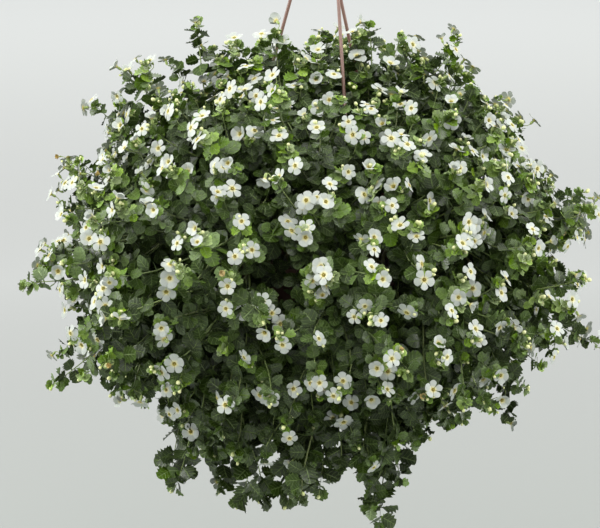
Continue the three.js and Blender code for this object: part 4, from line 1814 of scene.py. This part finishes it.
    def build(self, finishes: Finishes) -> None:
        """Grows the plant, then parts it into a leafy piece a spray and a blossom piece a tier.

        Args:
            finishes: The material of each slot.
        """
        shoots = self.plan_shoots()
        leaves = self.grow_leaves(shoots)
        leafy = leaves + self.grow_stems(shoots) + self.grow_buds(shoots)
        blooms = self.grow_blooms(shoots)
        counts = len(shoots.spray), sum(len(f.grids) for f in leaves), len(blooms[1].grids)
        LOG.info("%d shoots, %d leaves, %d flowers", *counts)
        for number, spray in enumerate(self.sprays):
            own = [family.of([number]) for family in leafy]
            piece = mesh_piece(f"leafy_{spray.name}", own, finishes)
            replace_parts(piece, spray.name)
        for tier in TIERS:
            numbers = [i for i, spray in enumerate(self.sprays) if spray.tier is tier]
            own = [family.of(numbers) for family in blooms]
            piece = mesh_piece(f"blossoms_{tier.name}", own, finishes)
            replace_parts(piece, *[self.sprays[i].name for i in numbers])


# The studio


@dataclass(frozen=True)
class Studio:
    """A pale floor with painted shade near its middle, soft light from above and both sides, and
    the photograph's camera.

    Attributes:
        target: What the middle of the picture shows, in the plane of the hook.
        distance: From the target to the camera.
        elevation: Of the camera above the target, in degrees.
        half_view: Half of what the picture's width shows at the target.
        floor_rings: The radii of the floor's rings, from its edge to its middle.
    """

    target: Point = (-0.0228, 0.0, -0.424)
    distance: float = 2.6
    elevation: float = 8.0
    half_view: float = 0.300
    floor_z: float = -1.15
    floor_rings: tuple[float, ...] = (40.0, 12.0, 4.0, 0.0)

    def build(self) -> None:
        """Makes the floor, the lights, the surrounding light and the camera."""
        scene = bpy.context.scene
        scene.view_settings.view_transform = "Standard"
        self.place_camera(scene)
        self.lay_floor()
        world = bpy.data.worlds.new("studio_air")
        world.use_nodes = True
        air = world.node_tree.nodes["Background"]
        air.inputs["Color"].default_value = linear("#fdfdfb")
        air.inputs["Strength"].default_value = 0.52
        scene.world = world
        self.hang_light("key_above", (-0.4, -1.5, 1.3), 2.0, 45)
        self.hang_light("side_left", (-3.0, 0.0, 0.8), 2.2, 106)
        self.hang_light("side_right", (3.0, -0.2, 0.7), 2.2, 94)
        self.hang_light("fill_front", (0.3, -3.4, 1.0), 2.6, 20)
        self.hang_light("rim_above", (0.0, 1.9, 1.7), 2.0, 14)
        self.hang_light("floor_wash", (0.0, 22.0, 12.0), 34.0, 4100, (0.0, 22.0, self.floor_z))

    def place_camera(self, scene: bpy.types.Scene) -> None:
        """Puts the camera in front, a little above the middle of the plant.

        Args:
            scene: What it looks at.
        """
        lift = math.radians(self.elevation)
        back = np.array([0.0, -math.cos(lift), math.sin(lift)])
        data = bpy.data.cameras.new("photo_camera")
        data.sensor_width = 36.0
        data.lens = data.sensor_width / 2 * self.distance / self.half_view
        data.clip_end = 200.0
        camera = bpy.data.objects.new("photo_camera", data)
        camera.location = np.array(self.target) + self.distance * back
        camera.rotation_euler = (math.pi / 2 - lift, 0.0, 0.0)
        scene.collection.objects.link(camera)
        scene.camera = camera

    def lay_floor(self) -> None:
        """Lays a wide disc of painted board under the plant."""
        disc = turned(np.array([(radius, self.floor_z) for radius in self.floor_rings]), 64)
        mesh = bpy.data.meshes.new("studio_floor")
        # It is no part of the model, so only the quads of its grid are taken.
        quads, _ = one_piece(disc, Slot.POT).faces()
        mesh.from_pydata(disc.reshape(-1, 3).tolist(), [], quads.tolist())
        mesh.update()
        mesh.materials.append(PaintedBoard().material())
        floor = bpy.data.objects.new("studio_floor", mesh)
        bpy.context.scene.collection.objects.link(floor)

    def hang_light(
        self, name: str, place: Point, size: float, power: float, aim: Point | None = None
    ) -> None:
        """Hangs a square soft light.

        Args:
            name: The light's name.
            place: Where it hangs.
            size: Its side.
            power: In watts.
            aim: What it looks at, or None for the plant.
        """
        data = bpy.data.lights.new(name, "AREA")
        data.size, data.energy = size, power
        lamp = bpy.data.objects.new(name, data)
        look = unit(np.array(aim or self.target) - np.array(place))
        lamp.location = place
        lamp.rotation_euler = (
            math.acos(np.clip(-look[2], -1, 1)), 0.0, math.atan2(look[1], look[0]) - math.pi / 2
        )
        bpy.context.scene.collection.objects.link(lamp)


def main() -> None:
    """Builds the studio, the hanger, the pot and the plant."""
    logging.basicConfig(level=logging.INFO, format="%(name)s: %(message)s")
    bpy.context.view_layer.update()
    Studio().build()
    finishes = all_finishes()
    HookAndHub().build(finishes)
    for strand in STRANDS:
        strand.build(finishes)
    pot = NurseryPot()
    pot.build(finishes)
    PottingMix().build(pot, finishes)
    Bacopa().build(finishes)
    bpy.context.view_layer.update()


if __name__ == "__main__":
    main()
